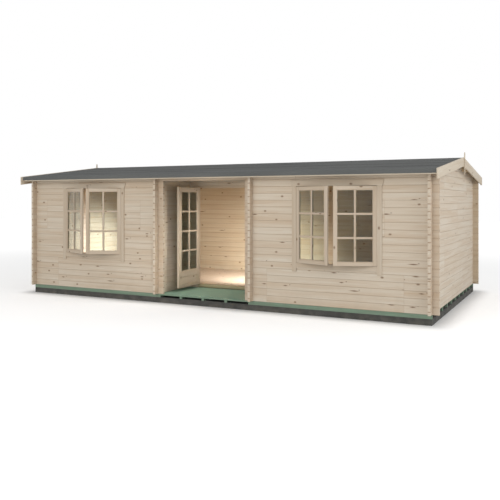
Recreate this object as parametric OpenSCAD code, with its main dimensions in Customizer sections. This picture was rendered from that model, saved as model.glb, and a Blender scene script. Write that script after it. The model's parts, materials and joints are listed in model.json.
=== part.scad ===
// Log cabin with a recessed centre porch, a pair of glazed doors and two pairs of casement windows.
// Millimetres, +Z up. The origin is on the ground, under the middle of the house.
// +X runs along the house to the right, and -Y is the front.

/* [House] */
// Length between the outer faces of the two gables
house_l = 7940; // [7700:10:8400]
// Depth between the outer faces of the front and back walls
house_d = 4130; // [3900:10:4400]
// Full log courses under the top log of the front and back walls
wall_courses = 18; // [18:1:20]
// Height of the top log of the front and back walls
top_log_h = 114; // [100:1:120]
// Slope of the roof in degrees
roof_pitch = 7.05; // [6:0.05:9]

/* [Logs] */
// Thickness of a log
log_t = 44; // [40:1:50]
// Height of one log course
log_h = 114; // [112:0.5:118]
// Bevel along the edges of a log
log_bevel = 4; // [2:0.5:8]
// Length of a log end past a crossing
log_end = 106; // [80:1:107]
// Gap between neighbouring pieces
fit = 0.4; // [0.3:0.05:0.6]

/* [Base] */
// Height of the plinth above the ground
plinth_h = 97; // [60:1:140]
// Thickness of the plinth
plinth_t = 90; // [70:1:120]
// Height of the ground beams and floor joists
beam_h = 63; // [55:1:80]
// Width of a ground beam or floor joist
joist_w = 44; // [40:1:50]
// Rows of floor joists from front to back
joist_rows = 11; // [9:1:13]
// Thickness of the floor boards
floor_t = 19; // [15:1:25]
// Thickness of the porch deck
deck_t = 25; // [20:1:30]
// Joists under the porch deck
deck_joists = 5; // [4:1:7]

/* [Porch] */
// Width of the porch's back wall on each side of the door frame
porch_return = 153; // [130:1:210]
// Depth of the porch
porch_d = 1090; // [1000:5:1150]

/* [Door] */
// Width between the jambs of the door frame
door_w = 1512; // [1420:2:1530]
// Height of a door leaf
leaf_h = 1878; // [1800:1:1890]
// Thickness of a door leaf
leaf_t = 42; // [38:1:46]
// Running gap around a door leaf
leaf_gap = 6; // [5.5:0.1:8]
// Height of the threshold
threshold_h = 68; // [50:1:70]
// Thickness of the jambs and the head of the door frame
jamb_t = 34; // [28:1:40]
// Projection of the door frame past both faces of the wall
jamb_proud = 16; // [10:1:20]
// Width of a stop strip behind the door leaves
stop_w = 12; // [10:1:16]
// Depth of a stop strip
stop_d = 20; // [12:1:22]
// Width of the stiles of a door leaf
door_stile = 98; // [80:1:110]
// Height of the top rail of a door leaf
door_top_rail = 86; // [70:1:110]
// Height of the middle rail of a door leaf
door_mid_rail = 104; // [80:1:120]
// Height of the bottom rail of a door leaf
door_bottom_rail = 62; // [50:1:100]
// Height of the timber panel in a door leaf
door_panel_h = 140; // [110:1:220]
// Thickness of the timber panel in a door leaf
door_panel_t = 14; // [10:1:20]
// Opening of the doors at rest in degrees
door_open = 90; // [60:5:90]

/* [Hinges] */
// Radius of a hinge barrel
barrel_r = 7; // [6:0.5:8]
// Height of half a hinge barrel
barrel_h = 46; // [36:1:60]
// Width of a hinge flap
flap_w = 30; // [26:1:33]
// Thickness of a hinge flap
flap_t = 2.5; // [2:0.5:4]

/* [Windows] */
// Distance of the middle of a window from the outer face of the gable
window_in = 1505; // [1450:5:1570]
// Width between the jambs of a window frame
window_w = 1350; // [1250:2:1400]
// Height of a sash
sash_h = 1242; // [1150:1:1244]
// Height of the bottom of a sash above the base of the walls
sash_z = 688; // [680:1:720]
// Thickness of a sash
sash_t = 40; // [36:1:44]
// Width of the stiles and rails of a sash
sash_member = 60; // [50:1:75]
// Running gap around a sash
sash_gap = 3; // [2:0.5:4]
// Opening of the sashes in degrees
sash_open = 22; // [10:1:23]
// Thickness of the members of a window frame
frame_t = 30; // [24:1:36]
// Projection of a window frame past the inner face of the wall
frame_proud = 13; // [8:1:18]
// Thickness of the glass
glass_t = 4; // [3:1:6]
// Depth of the step that holds the glass
rebate = 10; // [8:1:12]

/* [Window trim] */
// Thickness of the trim boards
trim_t = 18; // [15:1:22]
// Width of the upright trim boards
trim_w = 75; // [62:1:85]
// Height of the bottom trim board
apron_h = 86; // [70:1:100]
// Length of the upright trim boards below the bottom board
trim_drop = 56; // [30:1:80]
// Height of the head trim board
header_h = 96; // [80:1:100]
// Reach of the head trim board past the uprights
header_reach = 8; // [0:1:20]
// Outward slant of each end of the head trim board
header_slant = 26; // [10:1:35]

/* [Roof] */
// Overhang of the eaves
eave_over = 216; // [195:1:260]
// Overhang of the roof at the gables
gable_over = 115; // [108:1:140]
// Thickness of the roof boards
board_t = 28; // [24:1:32]
// Thickness of the roofing felt
felt_t = 8; // [6:1:10]
// Height of the felt turned down at the eaves
felt_lip = 69; // [55:1:80]
// Height of the eave boards
eave_board_h = 51; // [45:1:65]
// Depth of the eave boards
eave_board_w = 45; // [35:1:60]
// Width of a purlin
purlin_w = 58; // [44:1:70]
// Height of a purlin
purlin_h = 95; // [80:1:105]
// Distance of the side purlins behind the porch's back wall
purlin_back = 255; // [180:1:430]

/* [Bargeboards] */
// Height of a bargeboard, upright
barge_h = 157; // [135:1:175]
// Thickness of a bargeboard
barge_t = 24; // [18:1:28]
// Rise of a bargeboard above the felt
barge_rise = 4; // [2:0.5:15]
// Reach of a bargeboard past the eave
barge_past = 42; // [30:1:50]
// Width of a finial
finial_w = 28; // [22:1:35]
// Thickness of a finial
finial_t = 18; // [14:1:22]
// Length of a finial
finial_h = 395; // [330:1:420]
// Height of a finial above the ridge
finial_rise = 91; // [75:1:110]
// Length of the points of a finial
finial_point = 34; // [20:1:50]

/* [Hidden] */
// Overrun of cuts past the face that they open
over = 20;
// Part of a log's height that each notch takes
notch_share = 1 / 4;
// Places of the three hinges along the height of a door leaf
hinge_shares = [0.1, 0.5, 0.88];
// Colours of the finishes
timber = "#c9b79c";
treated = "#71856f";
plinth_grey = "#50504e";
felt_grey = "#646666";
glass_grey = "#3c413c";
hinge_grey = "#b4b6b8";

// Levels and places that several pieces share
wall_z = plinth_h + beam_h;
gable_x = house_l / 2;
front_y = -house_d / 2;
back_y = house_d / 2;
porch_x = door_w / 2 + jamb_t + porch_return;
recess_y = front_y + porch_d;
half_course = log_h / 2;
slope = tan(roof_pitch);
eave_z = wall_z + wall_courses * log_h + top_log_h;
ridge_z = eave_z + back_y * slope;
eave_y = back_y + eave_over;
board_v = board_t / cos(roof_pitch);
felt_v = felt_t / cos(roof_pitch);
roof_x = gable_x + gable_over;
notch = log_h * notch_share;
notch_w = log_t + 2 * fit;

// Underside of the roof boards at a distance from the ridge
function under_roof(y) = eave_z + (back_y - abs(y)) * slope;
// Top of the felt at a distance from the ridge
function roof_top(y) = under_roof(y) + board_v + fit + felt_v;

// Courses of the porch's back wall and of the gables above the eaves
recess_top = under_roof(recess_y) - fit;
recess_courses = round((recess_top - wall_z) / log_h);
cross_top = wall_z + wall_courses * log_h + half_course;
gable_uppers = max(1, round((ridge_z - cross_top) / log_h));
porch_uppers = max(1, round((recess_top - cross_top) / log_h));

// Door places
leaf_w = (door_w - 3 * leaf_gap) / 2;
leaf_z = wall_z + threshold_h + leaf_gap;
door_head_z = leaf_z + leaf_h + leaf_gap;
door_hole_x = door_w / 2 + jamb_t + fit;
door_hole_z = door_head_z + jamb_t + fit;
// Last course of the porch's back wall that the doorway cuts, and the level of its top
door_cut_course = floor((door_hole_z - wall_z) / log_h);
door_cut_z = wall_z + (door_cut_course + 1) * log_h;
jamb_front = recess_y - jamb_proud;
jamb_d = log_t + 2 * jamb_proud;
hinge_x = door_w / 2 - leaf_gap / 2;
hinge_off = barrel_r + fit;
hinge_y = jamb_front - hinge_off;
glass_z = door_bottom_rail + door_panel_h + door_mid_rail;
door_glass_h = leaf_h - glass_z - door_top_rail;

// Window places
window_x = gable_x - window_in;
sash_w = (window_w - 2 * fit - sash_gap) / 2;
sash_bottom = wall_z + sash_z;
window_hole_z = sash_bottom - sash_gap - frame_t - fit;
window_hole_h = sash_h + 2 * sash_gap + 2 * frame_t + 2 * fit;
sash_front = front_y - trim_t - fit;

// Distance of the side purlins from the ridge
purlin_y = -(recess_y + log_t + purlin_back);

// Centre of the joists of a row
function row_y(i) = front_y + joist_w / 2 + i * (house_d - joist_w) / (joist_rows - 1);
// Rows that lie in front of the back wall of the porch
front_rows = [for (i = [0:joist_rows - 1]) if (row_y(i) + joist_w / 2 < recess_y) i];
rear_rows = [for (i = [0:joist_rows - 1]) if (row_y(i) - joist_w / 2 > recess_y + log_t) i];

// Box between two corners
module block(low, high) {
  translate(low) cube(high - low);
}

// Outline in Y and Z carried along X
module along_x(from, to) {
  translate([from, 0, 0]) rotate([90, 0, 90]) linear_extrude(height = to - from) children();
}

// Children on both sides of the middle of the house
module both_sides() {
  children();
  mirror([1, 0, 0]) children();
}

// Children at the front and at the back
module both_slopes() {
  children();
  mirror([0, 1, 0]) children();
}

// One plain log along X with bevelled edges
module plain_log(from, to, bottom, top) {
  half = log_t / 2;
  flat = half - log_bevel;
  along_x(from, to)
    polygon([[-half, bottom + log_bevel], [-flat, bottom], [flat, bottom], [half, bottom + log_bevel],
             [half, top - log_bevel], [flat, top], [-flat, top], [-half, top - log_bevel]]);
}

// One log along X with a notch under and over it at each crossing.
// The seat is the level at which a full log of that course begins.
module log_bar(from, to, bottom, top, seat, crossings, upper) {
  half = notch_w / 2;
  side = log_t / 2 + over;
  difference() {
    plain_log(from, to, bottom, top);
    for (c = crossings) {
      if (seat + notch > bottom)
        block([c - half, -side, bottom - over], [c + half, side, seat + notch]);
      if (upper)
        block([c - half, -side, seat + log_h - notch - fit], [c + half, side, top + over]);
    }
  }
}

// Full courses of a wall along X
module long_courses(from, to, count, crossings) {
  for (i = [0:count - 1]) {
    seat = wall_z + i * log_h;
    log_bar(from, to, seat, seat + log_h - fit, seat, crossings, true);
  }
}

// Courses of a wall along Y, half a course lower than the long walls, below the eaves
module cross_courses(from, to, crossings) {
  for (i = [0:wall_courses]) {
    seat = wall_z + i * log_h - half_course;
    log_bar(from, to, max(seat, wall_z), seat + log_h - fit, seat, crossings, true);
  }
}

// Space under the roof boards
module under_roof_space(x_from, x_to) {
  along_x(x_from, x_to)
    polygon([[-eave_y, wall_z], [eave_y, wall_z], [eave_y, under_roof(eave_y) - fit],
             [0, ridge_z - fit], [-eave_y, under_roof(eave_y) - fit]]);
}

// Turns a wall made along X so that it runs along Y
module turn_wall(x) {
  translate([x, 0, 0]) rotate([0, 0, 90]) children();
}

// Opening for one window, with its middle at a place along the wall
module window_hole(x) {
  half = window_w / 2 + frame_t + fit;
  block([x - half, front_y - over, window_hole_z],
        [x + half, front_y + log_t + over, window_hole_z + window_hole_h]);
}

// Logs of the front wall on the right of the porch
module front_logs() {
  crossings = [porch_x + log_t / 2, gable_x - log_t / 2];
  difference() {
    translate([0, front_y + log_t / 2, 0])
      long_courses(porch_x - log_end, gable_x + log_end, wall_courses, crossings);
    window_hole(window_x);
  }
}

// Top log of a long wall, notched over the cross walls below it
module top_log(crossings) {
  seat = wall_z + wall_courses * log_h;
  log_bar(-gable_x - log_end, gable_x + log_end, seat, eave_z - fit, seat, crossings, false);
}

// Right gable, with its upper logs cut to the slope and notched for the purlins
module gable_logs() {
  turn_wall(gable_x - log_t / 2)
    cross_courses(front_y - log_end, back_y + log_end, [front_y + log_t / 2, back_y - log_t / 2]);
  inner = back_y - log_t - fit;
  difference() {
    intersection() {
      under_roof_space(gable_x - log_t - over, gable_x + over);
      for (i = [0:gable_uppers - 1]) {
        seat = cross_top + i * log_h;
        top = i == gable_uppers - 1 ? ridge_z : seat + log_h - fit;
        turn_wall(gable_x - log_t / 2) plain_log(-inner, inner, seat, top);
      }
    }
    purlin_bars(fit, over);
  }
}

// Porch side wall on the right
module porch_logs() {
  rear = recess_y + log_t + log_end;
  turn_wall(porch_x + log_t / 2)
    cross_courses(front_y - log_end, rear, [front_y + log_t / 2, recess_y + log_t / 2]);
  intersection() {
    under_roof_space(porch_x - over, porch_x + log_t + over);
    for (i = [0:porch_uppers - 1]) {
      seat = cross_top + i * log_h;
      crosses = wall_courses + 1 + i < recess_courses;
      top = i == porch_uppers - 1 ? ridge_z : seat + log_h - fit;
      turn_wall(porch_x + log_t / 2)
        log_bar(front_y + log_t + fit, crosses ? rear : recess_y - fit, seat, top, seat,
                crosses ? [recess_y + log_t / 2] : [], true);
    }
  }
}

// Logs of the porch's back wall, full length or cut to a stretch of X
module recess_logs(first, last) {
  for (i = [first:last]) {
    seat = wall_z + i * log_h;
    is_top = i == recess_courses - 1;
    reach = porch_x + log_t + log_end;
    translate([0, recess_y + log_t / 2, 0])
      log_bar(-reach, reach, seat, is_top ? recess_top : seat + log_h - fit, seat,
              [-porch_x - log_t / 2, porch_x + log_t / 2], !is_top);
  }
}

module plinth_front() {
  color(plinth_grey) block([-gable_x, front_y, 0], [gable_x, front_y + plinth_t, plinth_h - fit]);
}

module plinth_back() {
  color(plinth_grey) block([-gable_x, back_y - plinth_t, 0], [gable_x, back_y, plinth_h - fit]);
}

module plinth_sides() {
  color(plinth_grey) both_sides()
    block([gable_x - plinth_t, front_y + plinth_t + fit, 0],
          [gable_x, back_y - plinth_t - fit, plinth_h - fit]);
}

module plinth_cross() {
  middle = porch_x + log_t / 2;
  color(plinth_grey) {
    both_sides()
      block([middle - plinth_t / 2, front_y + plinth_t + fit, 0],
            [middle + plinth_t / 2, back_y - plinth_t - fit, plinth_h - fit]);
    block([-middle + plinth_t / 2 + fit, recess_y + log_t / 2 - plinth_t / 2, 0],
          [middle - plinth_t / 2 - fit, recess_y + log_t / 2 + plinth_t / 2, plinth_h - fit]);
  }
}

// Joists beside the porch on the right
module side_joists() {
  for (i = front_rows)
    block([porch_x + log_t + fit, row_y(i) - joist_w / 2, plinth_h],
          [gable_x, row_y(i) + joist_w / 2, wall_z - fit]);
}

module left_joists() {
  color(treated) mirror([1, 0, 0]) side_joists();
}

module right_joists() {
  color(treated) side_joists();
}

module long_joists() {
  color(treated)
    for (i = rear_rows)
      block([-gable_x, row_y(i) - joist_w / 2, plinth_h], [gable_x, row_y(i) + joist_w / 2, wall_z - fit]);
}

module porch_joists() {
  first = -porch_x + fit + joist_w / 2;
  step = -2 * first / (deck_joists - 1);
  color(treated)
    for (i = [0:deck_joists - 1])
      block([first + i * step - joist_w / 2, front_y, plinth_h],
            [first + i * step + joist_w / 2, recess_y - fit, wall_z - deck_t - 2 * fit]);
}

module porch_beams() {
  color(treated) {
    both_sides() block([porch_x, front_y, plinth_h], [porch_x + log_t, recess_y - fit, wall_z - fit]);
    block([-porch_x - log_t, recess_y, plinth_h], [porch_x + log_t, recess_y + log_t, wall_z - fit]);
  }
}

module porch_deck() {
  color(treated)
    block([-porch_x + fit, front_y, wall_z - deck_t - fit], [porch_x - fit, recess_y - fit, wall_z - fit]);
}

// Floor of the room beside the porch on the right
module side_floor() {
  difference() {
    block([porch_x + log_t + fit, front_y + log_t + fit, wall_z],
          [gable_x - log_t - fit, recess_y + log_t, wall_z + floor_t]);
    block([porch_x, recess_y - fit, wall_z - over],
          [porch_x + log_t + log_end + fit, recess_y + log_t + over, wall_z + floor_t + over]);
  }
}

module left_floor() {
  color(timber) mirror([1, 0, 0]) side_floor();
}

module right_floor() {
  color(timber) side_floor();
}

module main_floor() {
  color(timber) difference() {
    block([-gable_x + log_t + fit, recess_y + log_t + fit, wall_z],
          [gable_x - log_t - fit, back_y - log_t - fit, wall_z + floor_t]);
    both_sides()
      block([porch_x - fit, recess_y + log_t - over, wall_z - over],
            [porch_x + log_t + fit, recess_y + log_t + log_end + fit, wall_z + floor_t + over]);
    block([-door_hole_x, recess_y + log_t - over, wall_z - over],
          [door_hole_x, recess_y + log_t + jamb_proud + fit, wall_z + floor_t + over]);
  }
}

module front_wall_left() {
  color(timber) mirror([1, 0, 0]) front_logs();
}

module front_wall_right() {
  color(timber) front_logs();
}

module front_top_log() {
  color(timber) translate([0, front_y + log_t / 2, 0])
    top_log([-gable_x + log_t / 2, -porch_x - log_t / 2, porch_x + log_t / 2, gable_x - log_t / 2]);
}

module back_wall() {
  ends = [-gable_x + log_t / 2, gable_x - log_t / 2];
  color(timber) translate([0, back_y - log_t / 2, 0]) {
    long_courses(-gable_x - log_end, gable_x + log_end, wall_courses, ends);
    top_log(ends);
  }
}

module left_gable() {
  color(timber) mirror([1, 0, 0]) gable_logs();
}

module right_gable() {
  color(timber) gable_logs();
}

module porch_wall_left() {
  color(timber) mirror([1, 0, 0]) porch_logs();
}

module porch_wall_right() {
  color(timber) porch_logs();
}

module porch_back_wall() {
  color(timber) difference() {
    recess_logs(0, door_cut_course);
    block([-door_hole_x, recess_y - over, wall_z - over],
          [door_hole_x, recess_y + log_t + over, door_cut_z + over]);
  }
}

module logs_over_door() {
  color(timber) {
    translate([0, recess_y + log_t / 2, 0])
      plain_log(-door_hole_x + fit, door_hole_x - fit, door_hole_z, door_cut_z - fit);
    recess_logs(door_cut_course + 1, recess_courses - 1);
  }
}

module door_frame() {
  half = door_w / 2;
  rear = jamb_front + jamb_d;
  stop_y = jamb_front + leaf_t + leaf_gap;
  color(timber) {
    both_sides() {
      block([half, jamb_front, wall_z], [half + jamb_t, rear, door_head_z + jamb_t]);
      block([half - stop_w, stop_y, wall_z + threshold_h + fit],
            [half - fit, stop_y + stop_d, door_head_z - fit]);
    }
    block([-half + fit, jamb_front, door_head_z], [half - fit, rear, door_head_z + jamb_t]);
    block([-half + stop_w + fit, stop_y, door_head_z - stop_w],
          [half - stop_w - fit, stop_y + stop_d, door_head_z - fit]);
    block([-half + fit, jamb_front, wall_z], [half - fit, rear, wall_z + threshold_h]);
  }
}

// Half barrel and flap of one hinge about the Z axis, with the flap towards +X
module hinge_half() {
  cylinder(r = barrel_r, h = barrel_h - fit, $fn = 32);
  block([0, barrel_r - flap_t, 0], [flap_w, barrel_r, barrel_h - fit]);
}

// Places the hinges of one door leaf
module at_hinges() {
  for (share = hinge_shares) translate([0, 0, leaf_z + leaf_h * share]) children();
}

module door_frame_hinges() {
  color(hinge_grey) both_sides()
    translate([-hinge_x, hinge_y, 0]) at_hinges() mirror([1, 0, 0]) hinge_half();
}

// Opens what is made for a closed left leaf, with the hinge line on the Z axis
module hang_leaf() {
  translate([-hinge_x, hinge_y, 0]) rotate([0, 0, -door_open]) children();
}

// Framed leaf from the origin, with one glazed opening that is stepped from its front face
module glazed_leaf(w, h, t, stile, top_rail, bottom) {
  difference() {
    cube([w, t, h]);
    block([stile, -over, bottom], [w - stile, t + over, h - top_rail]);
    block([stile - rebate, -over, bottom - rebate], [w - stile + rebate, t / 2, h - top_rail + rebate]);
  }
}

// Pane that stands in the step of a framed leaf
module leaf_pane(w, h, t, stile, top_rail, bottom) {
  block([stile - rebate + fit, t / 2 - fit - glass_t, bottom - rebate + fit],
        [w - stile + rebate - fit, t / 2 - fit, h - top_rail + rebate - fit]);
}

// Closed left door leaf about its hinge line, with a timber panel under the glass
module door_leaf() {
  recess = (leaf_t - door_panel_t) / 2;
  panel_end = leaf_w - door_stile;
  panel_top = door_bottom_rail + door_panel_h;
  translate([leaf_gap / 2, hinge_off, leaf_z]) difference() {
    glazed_leaf(leaf_w, leaf_h, leaf_t, door_stile, door_top_rail, glass_z);
    block([door_stile, -over, door_bottom_rail], [panel_end, recess, panel_top]);
    block([door_stile, leaf_t - recess, door_bottom_rail], [panel_end, leaf_t + over, panel_top]);
  }
}

module door_pane() {
  translate([leaf_gap / 2, hinge_off, leaf_z])
    leaf_pane(leaf_w, leaf_h, leaf_t, door_stile, door_top_rail, glass_z);
}

module leaf_hinges() {
  at_hinges() translate([0, 0, barrel_h]) hinge_half();
}

module left_door() {
  color(timber) hang_leaf() door_leaf();
}

module left_door_glass() {
  color(glass_grey) hang_leaf() door_pane();
}

module left_door_hinges() {
  color(hinge_grey) hang_leaf() leaf_hinges();
}

module right_door() {
  color(timber) mirror([1, 0, 0]) hang_leaf() door_leaf();
}

module right_door_glass() {
  color(glass_grey) mirror([1, 0, 0]) hang_leaf() door_pane();
}

module right_door_hinges() {
  color(hinge_grey) mirror([1, 0, 0]) hang_leaf() leaf_hinges();
}

// Frame of one window, about the middle of its opening
module window_frame() {
  half = window_w / 2;
  rear = front_y + log_t + frame_proud;
  low = window_hole_z + fit;
  high = window_hole_z + window_hole_h - fit;
  color(timber) {
    both_sides() block([half, front_y, low], [half + frame_t, rear, high]);
    block([-half + fit, front_y, low], [half - fit, rear, low + frame_t]);
    block([-half + fit, front_y, high - frame_t], [half - fit, rear, high]);
  }
}

// Boards around one window
module window_trim() {
  half = window_w / 2;
  rear = front_y - fit;
  apron_top = sash_bottom - sash_gap;
  header_bottom = sash_bottom + sash_h + 2 * sash_gap;
  outer = half + trim_w;
  color(timber) {
    both_sides()
      block([half, rear - trim_t, apron_top - apron_h - trim_drop], [outer, rear, header_bottom - fit]);
    block([-half + fit, rear - trim_t, apron_top - apron_h], [half - fit, rear, apron_top]);
    translate([0, rear, 0]) rotate([90, 0, 0]) linear_extrude(height = trim_t)
      polygon([[-outer - header_reach, header_bottom], [outer + header_reach, header_bottom],
               [outer + header_reach + header_slant, header_bottom + header_h],
               [-outer - header_reach - header_slant, header_bottom + header_h]]);
  }
}

// Opens what is made for the left sash of a window, about the outer corner of the frame
module hang_sash() {
  both_sides()
    translate([-window_w / 2 + fit, sash_front, sash_bottom]) rotate([0, 0, -sash_open]) children();
}

module window_sashes() {
  color(timber) hang_sash()
    glazed_leaf(sash_w, sash_h, sash_t, sash_member, sash_member, sash_member);
}

module window_glass() {
  color(glass_grey) hang_sash()
    leaf_pane(sash_w, sash_h, sash_t, sash_member, sash_member, sash_member);
}

module left_window_frame() {
  translate([-window_x, 0, 0]) window_frame();
}

module left_window_trim() {
  translate([-window_x, 0, 0]) window_trim();
}

module left_window_sashes() {
  translate([-window_x, 0, 0]) window_sashes();
}

module left_window_glass() {
  translate([-window_x, 0, 0]) window_glass();
}

module right_window_frame() {
  translate([window_x, 0, 0]) window_frame();
}

module right_window_trim() {
  translate([window_x, 0, 0]) window_trim();
}

module right_window_sashes() {
  translate([window_x, 0, 0]) window_sashes();
}

module right_window_glass() {
  translate([window_x, 0, 0]) window_glass();
}

// Ridge purlin and the two side purlins, grown by a clearance and lengthened
module purlin_bars(grow, extra) {
  half = purlin_w / 2;
  for (y = [-purlin_y, 0, purlin_y]) {
    top = under_roof(abs(y) + half) - fit;
    block([-roof_x - extra, y - half - grow, top - purlin_h - grow],
          [roof_x + extra, y + half + grow, top + extra]);
  }
}

module purlins() {
  color(timber) purlin_bars(0, 0);
}

module roof_boards() {
  color(timber) both_slopes() along_x(-roof_x, roof_x)
    polygon([[fit / 2, under_roof(0)], [eave_y, under_roof(eave_y)],
             [eave_y, under_roof(eave_y) + board_v], [fit / 2, under_roof(0) + board_v]]);
}

// Sheet of felt on each slope and the strip that turns down at its eave
module roof_felt() {
  edge = eave_y + fit;
  low = under_roof(eave_y) + board_v + fit;
  color(felt_grey) both_slopes() {
    along_x(-roof_x, roof_x)
      polygon([[fit / 2, under_roof(0) + board_v + fit], [eave_y, low],
               [eave_y, low + felt_v], [fit / 2, roof_top(0)]]);
    block([-roof_x, edge, low + felt_v - felt_lip], [roof_x, edge + felt_t, low + felt_v]);
  }
}

module eave_boards() {
  inner = eave_y - eave_board_w;
  color(timber) both_slopes() along_x(-roof_x, roof_x)
    polygon([[inner, under_roof(inner) - fit], [inner, under_roof(inner) - fit - eave_board_h],
             [eave_y, under_roof(eave_y) - fit - eave_board_h], [eave_y, under_roof(eave_y) - fit]]);
}

module bargeboards() {
  end = eave_y + fit + felt_t + barge_past;
  color(timber) both_sides() both_slopes() along_x(roof_x + fit, roof_x + fit + barge_t)
    polygon([[fit / 2, roof_top(0) + barge_rise], [fit / 2, roof_top(0) + barge_rise - barge_h],
             [end, roof_top(end) + barge_rise - barge_h], [end, roof_top(end) + barge_rise]]);
}

module finials() {
  tip = roof_top(0) + finial_rise;
  foot = tip - finial_h;
  half = finial_w / 2;
  inner = roof_x + barge_t + 2 * fit;
  color(timber) both_sides() along_x(inner, inner + finial_t)
    polygon([[0, tip], [-half, tip - finial_point], [-half, foot + finial_point], [0, foot],
             [half, foot + finial_point], [half, tip - finial_point]]);
}

plinth_front();
plinth_back();
plinth_sides();
plinth_cross();
left_joists();
right_joists();
long_joists();
porch_joists();
porch_beams();
porch_deck();
left_floor();
right_floor();
main_floor();
front_wall_left();
front_wall_right();
front_top_log();
back_wall();
left_gable();
right_gable();
porch_wall_left();
porch_wall_right();
porch_back_wall();
logs_over_door();
door_frame();
door_frame_hinges();
left_door();
left_door_glass();
left_door_hinges();
right_door();
right_door_glass();
right_door_hinges();
left_window_frame();
left_window_trim();
left_window_sashes();
left_window_glass();
right_window_frame();
right_window_trim();
right_window_sashes();
right_window_glass();
purlins();
roof_boards();
roof_felt();
eave_boards();
bargeboards();
finials();
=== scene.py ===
"""Looks of a log cabin with a recessed porch, made around its packed construction.

Lengths are metres in the frame of the construction: +X runs to the right, -Y is the front, +Z is up.
"""

import json
import logging
import math
from dataclasses import dataclass, field
from enum import Enum

import bpy
import numpy as np
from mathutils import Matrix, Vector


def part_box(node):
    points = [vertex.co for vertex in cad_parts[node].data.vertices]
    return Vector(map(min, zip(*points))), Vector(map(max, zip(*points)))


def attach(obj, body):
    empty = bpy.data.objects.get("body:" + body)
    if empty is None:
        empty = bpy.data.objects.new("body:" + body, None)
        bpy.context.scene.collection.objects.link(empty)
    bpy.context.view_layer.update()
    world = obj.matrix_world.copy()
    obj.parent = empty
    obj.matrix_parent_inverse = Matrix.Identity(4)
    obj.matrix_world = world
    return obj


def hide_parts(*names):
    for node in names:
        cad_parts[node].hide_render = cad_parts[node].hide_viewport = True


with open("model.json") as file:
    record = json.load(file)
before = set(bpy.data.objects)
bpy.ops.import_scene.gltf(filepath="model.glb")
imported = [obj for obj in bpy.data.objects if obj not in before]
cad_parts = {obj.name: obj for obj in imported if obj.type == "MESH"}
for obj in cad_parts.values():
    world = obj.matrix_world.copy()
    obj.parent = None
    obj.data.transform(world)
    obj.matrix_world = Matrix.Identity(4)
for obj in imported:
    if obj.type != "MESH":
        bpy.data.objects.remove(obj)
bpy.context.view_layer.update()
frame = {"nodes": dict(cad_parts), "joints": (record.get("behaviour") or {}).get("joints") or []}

log = logging.getLogger("cabin")
Point = tuple[float, float, float]
Span = tuple[float, float]
Material = bpy.types.Material
Node = bpy.types.Node
Socket = bpy.types.NodeSocket
Tree = bpy.types.NodeTree
Value = float | tuple | Socket

X_AXIS: Point = (1.0, 0.0, 0.0)
Y_AXIS: Point = (0.0, 1.0, 0.0)
Z_AXIS: Point = (0.0, 0.0, 1.0)
# Height and thickness of a wall log, and its length past a corner
COURSE = 0.114
LOG_T = 0.044
LOG_END = 0.106


class Side(Enum):
    """Half of the cabin, with its sign along X."""

    LEFT = -1
    RIGHT = 1

    @property
    def word(self) -> str:
        """Name of the half as it stands in the names of its nodes."""
        return self.name.lower()


class Run(Enum):
    """Direction of the logs of a wall, as the turn about Z that lays them along X."""

    ALONG_X = 0.0
    ALONG_Y = -90.0


class Slot(Enum):
    """Material slots of the record, which are named along with the new pieces."""

    JOINERY = "joinery"
    TRIM = "trim"
    ROOF_TIMBER = "roof_timber"
    FLOOR = "floor"
    DECK = "deck"
    FELT = "felt"
    HINGES = "hinges"


# Meshes

@dataclass
class Shape:
    """Surface of quads that carries a grain coordinate at every point.

    Attributes:
        points: Places of the points, n by 3.
        quads: Numbers of the points of each face, m by 4, turning outwards.
        grain: Place of each point in its own timber, n by 3: along, across and through it.
    """

    points: np.ndarray
    quads: np.ndarray
    grain: np.ndarray

    def __post_init__(self) -> None:
        """Lays points, faces and grain out in rows."""
        self.points, self.grain = self.points.reshape(-1, 3), self.grain.reshape(-1, 3)
        self.quads = self.quads.reshape(-1, 4)

    @classmethod
    def join(cls, shapes: list["Shape"]) -> "Shape":
        """Joins several shapes into one.

        Args:
            shapes: Shapes in the order in which their points follow each other.

        Returns:
            One shape with all points and faces.
        """
        firsts = np.cumsum([0] + [len(s.points) for s in shapes[:-1]])
        quads = [s.quads + first for s, first in zip(shapes, firsts)]
        return cls(np.concatenate([s.points for s in shapes]), np.concatenate(quads),
                   np.concatenate([s.grain for s in shapes]))

    def placed(self, origin: Point, turn_deg: float) -> "Shape":
        """Turns a copy about the Z axis and then moves it.

        Args:
            origin: Place that the shape's own origin comes to.
            turn_deg: Turn in degrees, anticlockwise from above.

        Returns:
            The copy.
        """
        c, s = math.cos(math.radians(turn_deg)), math.sin(math.radians(turn_deg))
        turn = np.array([[c, s, 0.0], [-s, c, 0.0], [0.0, 0.0, 1.0]])
        return Shape(self.points @ turn + np.array(origin), self.quads, self.grain)

    def mirrored(self, centre_x: float) -> "Shape":
        """Gives a copy mirrored in X about a plane, with its faces turned outwards again."""
        points = self.points * np.array([-1.0, 1.0, 1.0]) + np.array([2 * centre_x, 0.0, 0.0])
        return Shape(points, self.quads[:, ::-1], self.grain)


def tube_faces(rings: int, wide: int) -> np.ndarray:
    """Faces between closed rings of points that follow each other.

    Args:
        rings: Number of rings.
        wide: Points in a ring.

    Returns:
        Numbers of the points of each face, n by 4.
    """
    first, side = np.meshgrid(np.arange(rings - 1) * wide, np.arange(wide), indexing="ij")
    near, follow = first + side, first + (side + 1) % wide
    return np.stack([near, follow, follow + wide, near + wide], axis=-1).reshape(-1, 4)


# Signs of the eight points of a bar's outline across and through it, and which of them a bevel moves
SIDE_ACROSS = np.array([1, 1, -1, -1, -1, -1, 1, 1])
SIDE_THROUGH = np.array([1, 1, 1, 1, -1, -1, -1, -1])
BEVEL_ACROSS = np.array([0, 1, 1, 0, 0, 1, 1, 0])
BEVEL_THROUGH = 1 - BEVEL_ACROSS
RING = len(SIDE_ACROSS)
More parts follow.
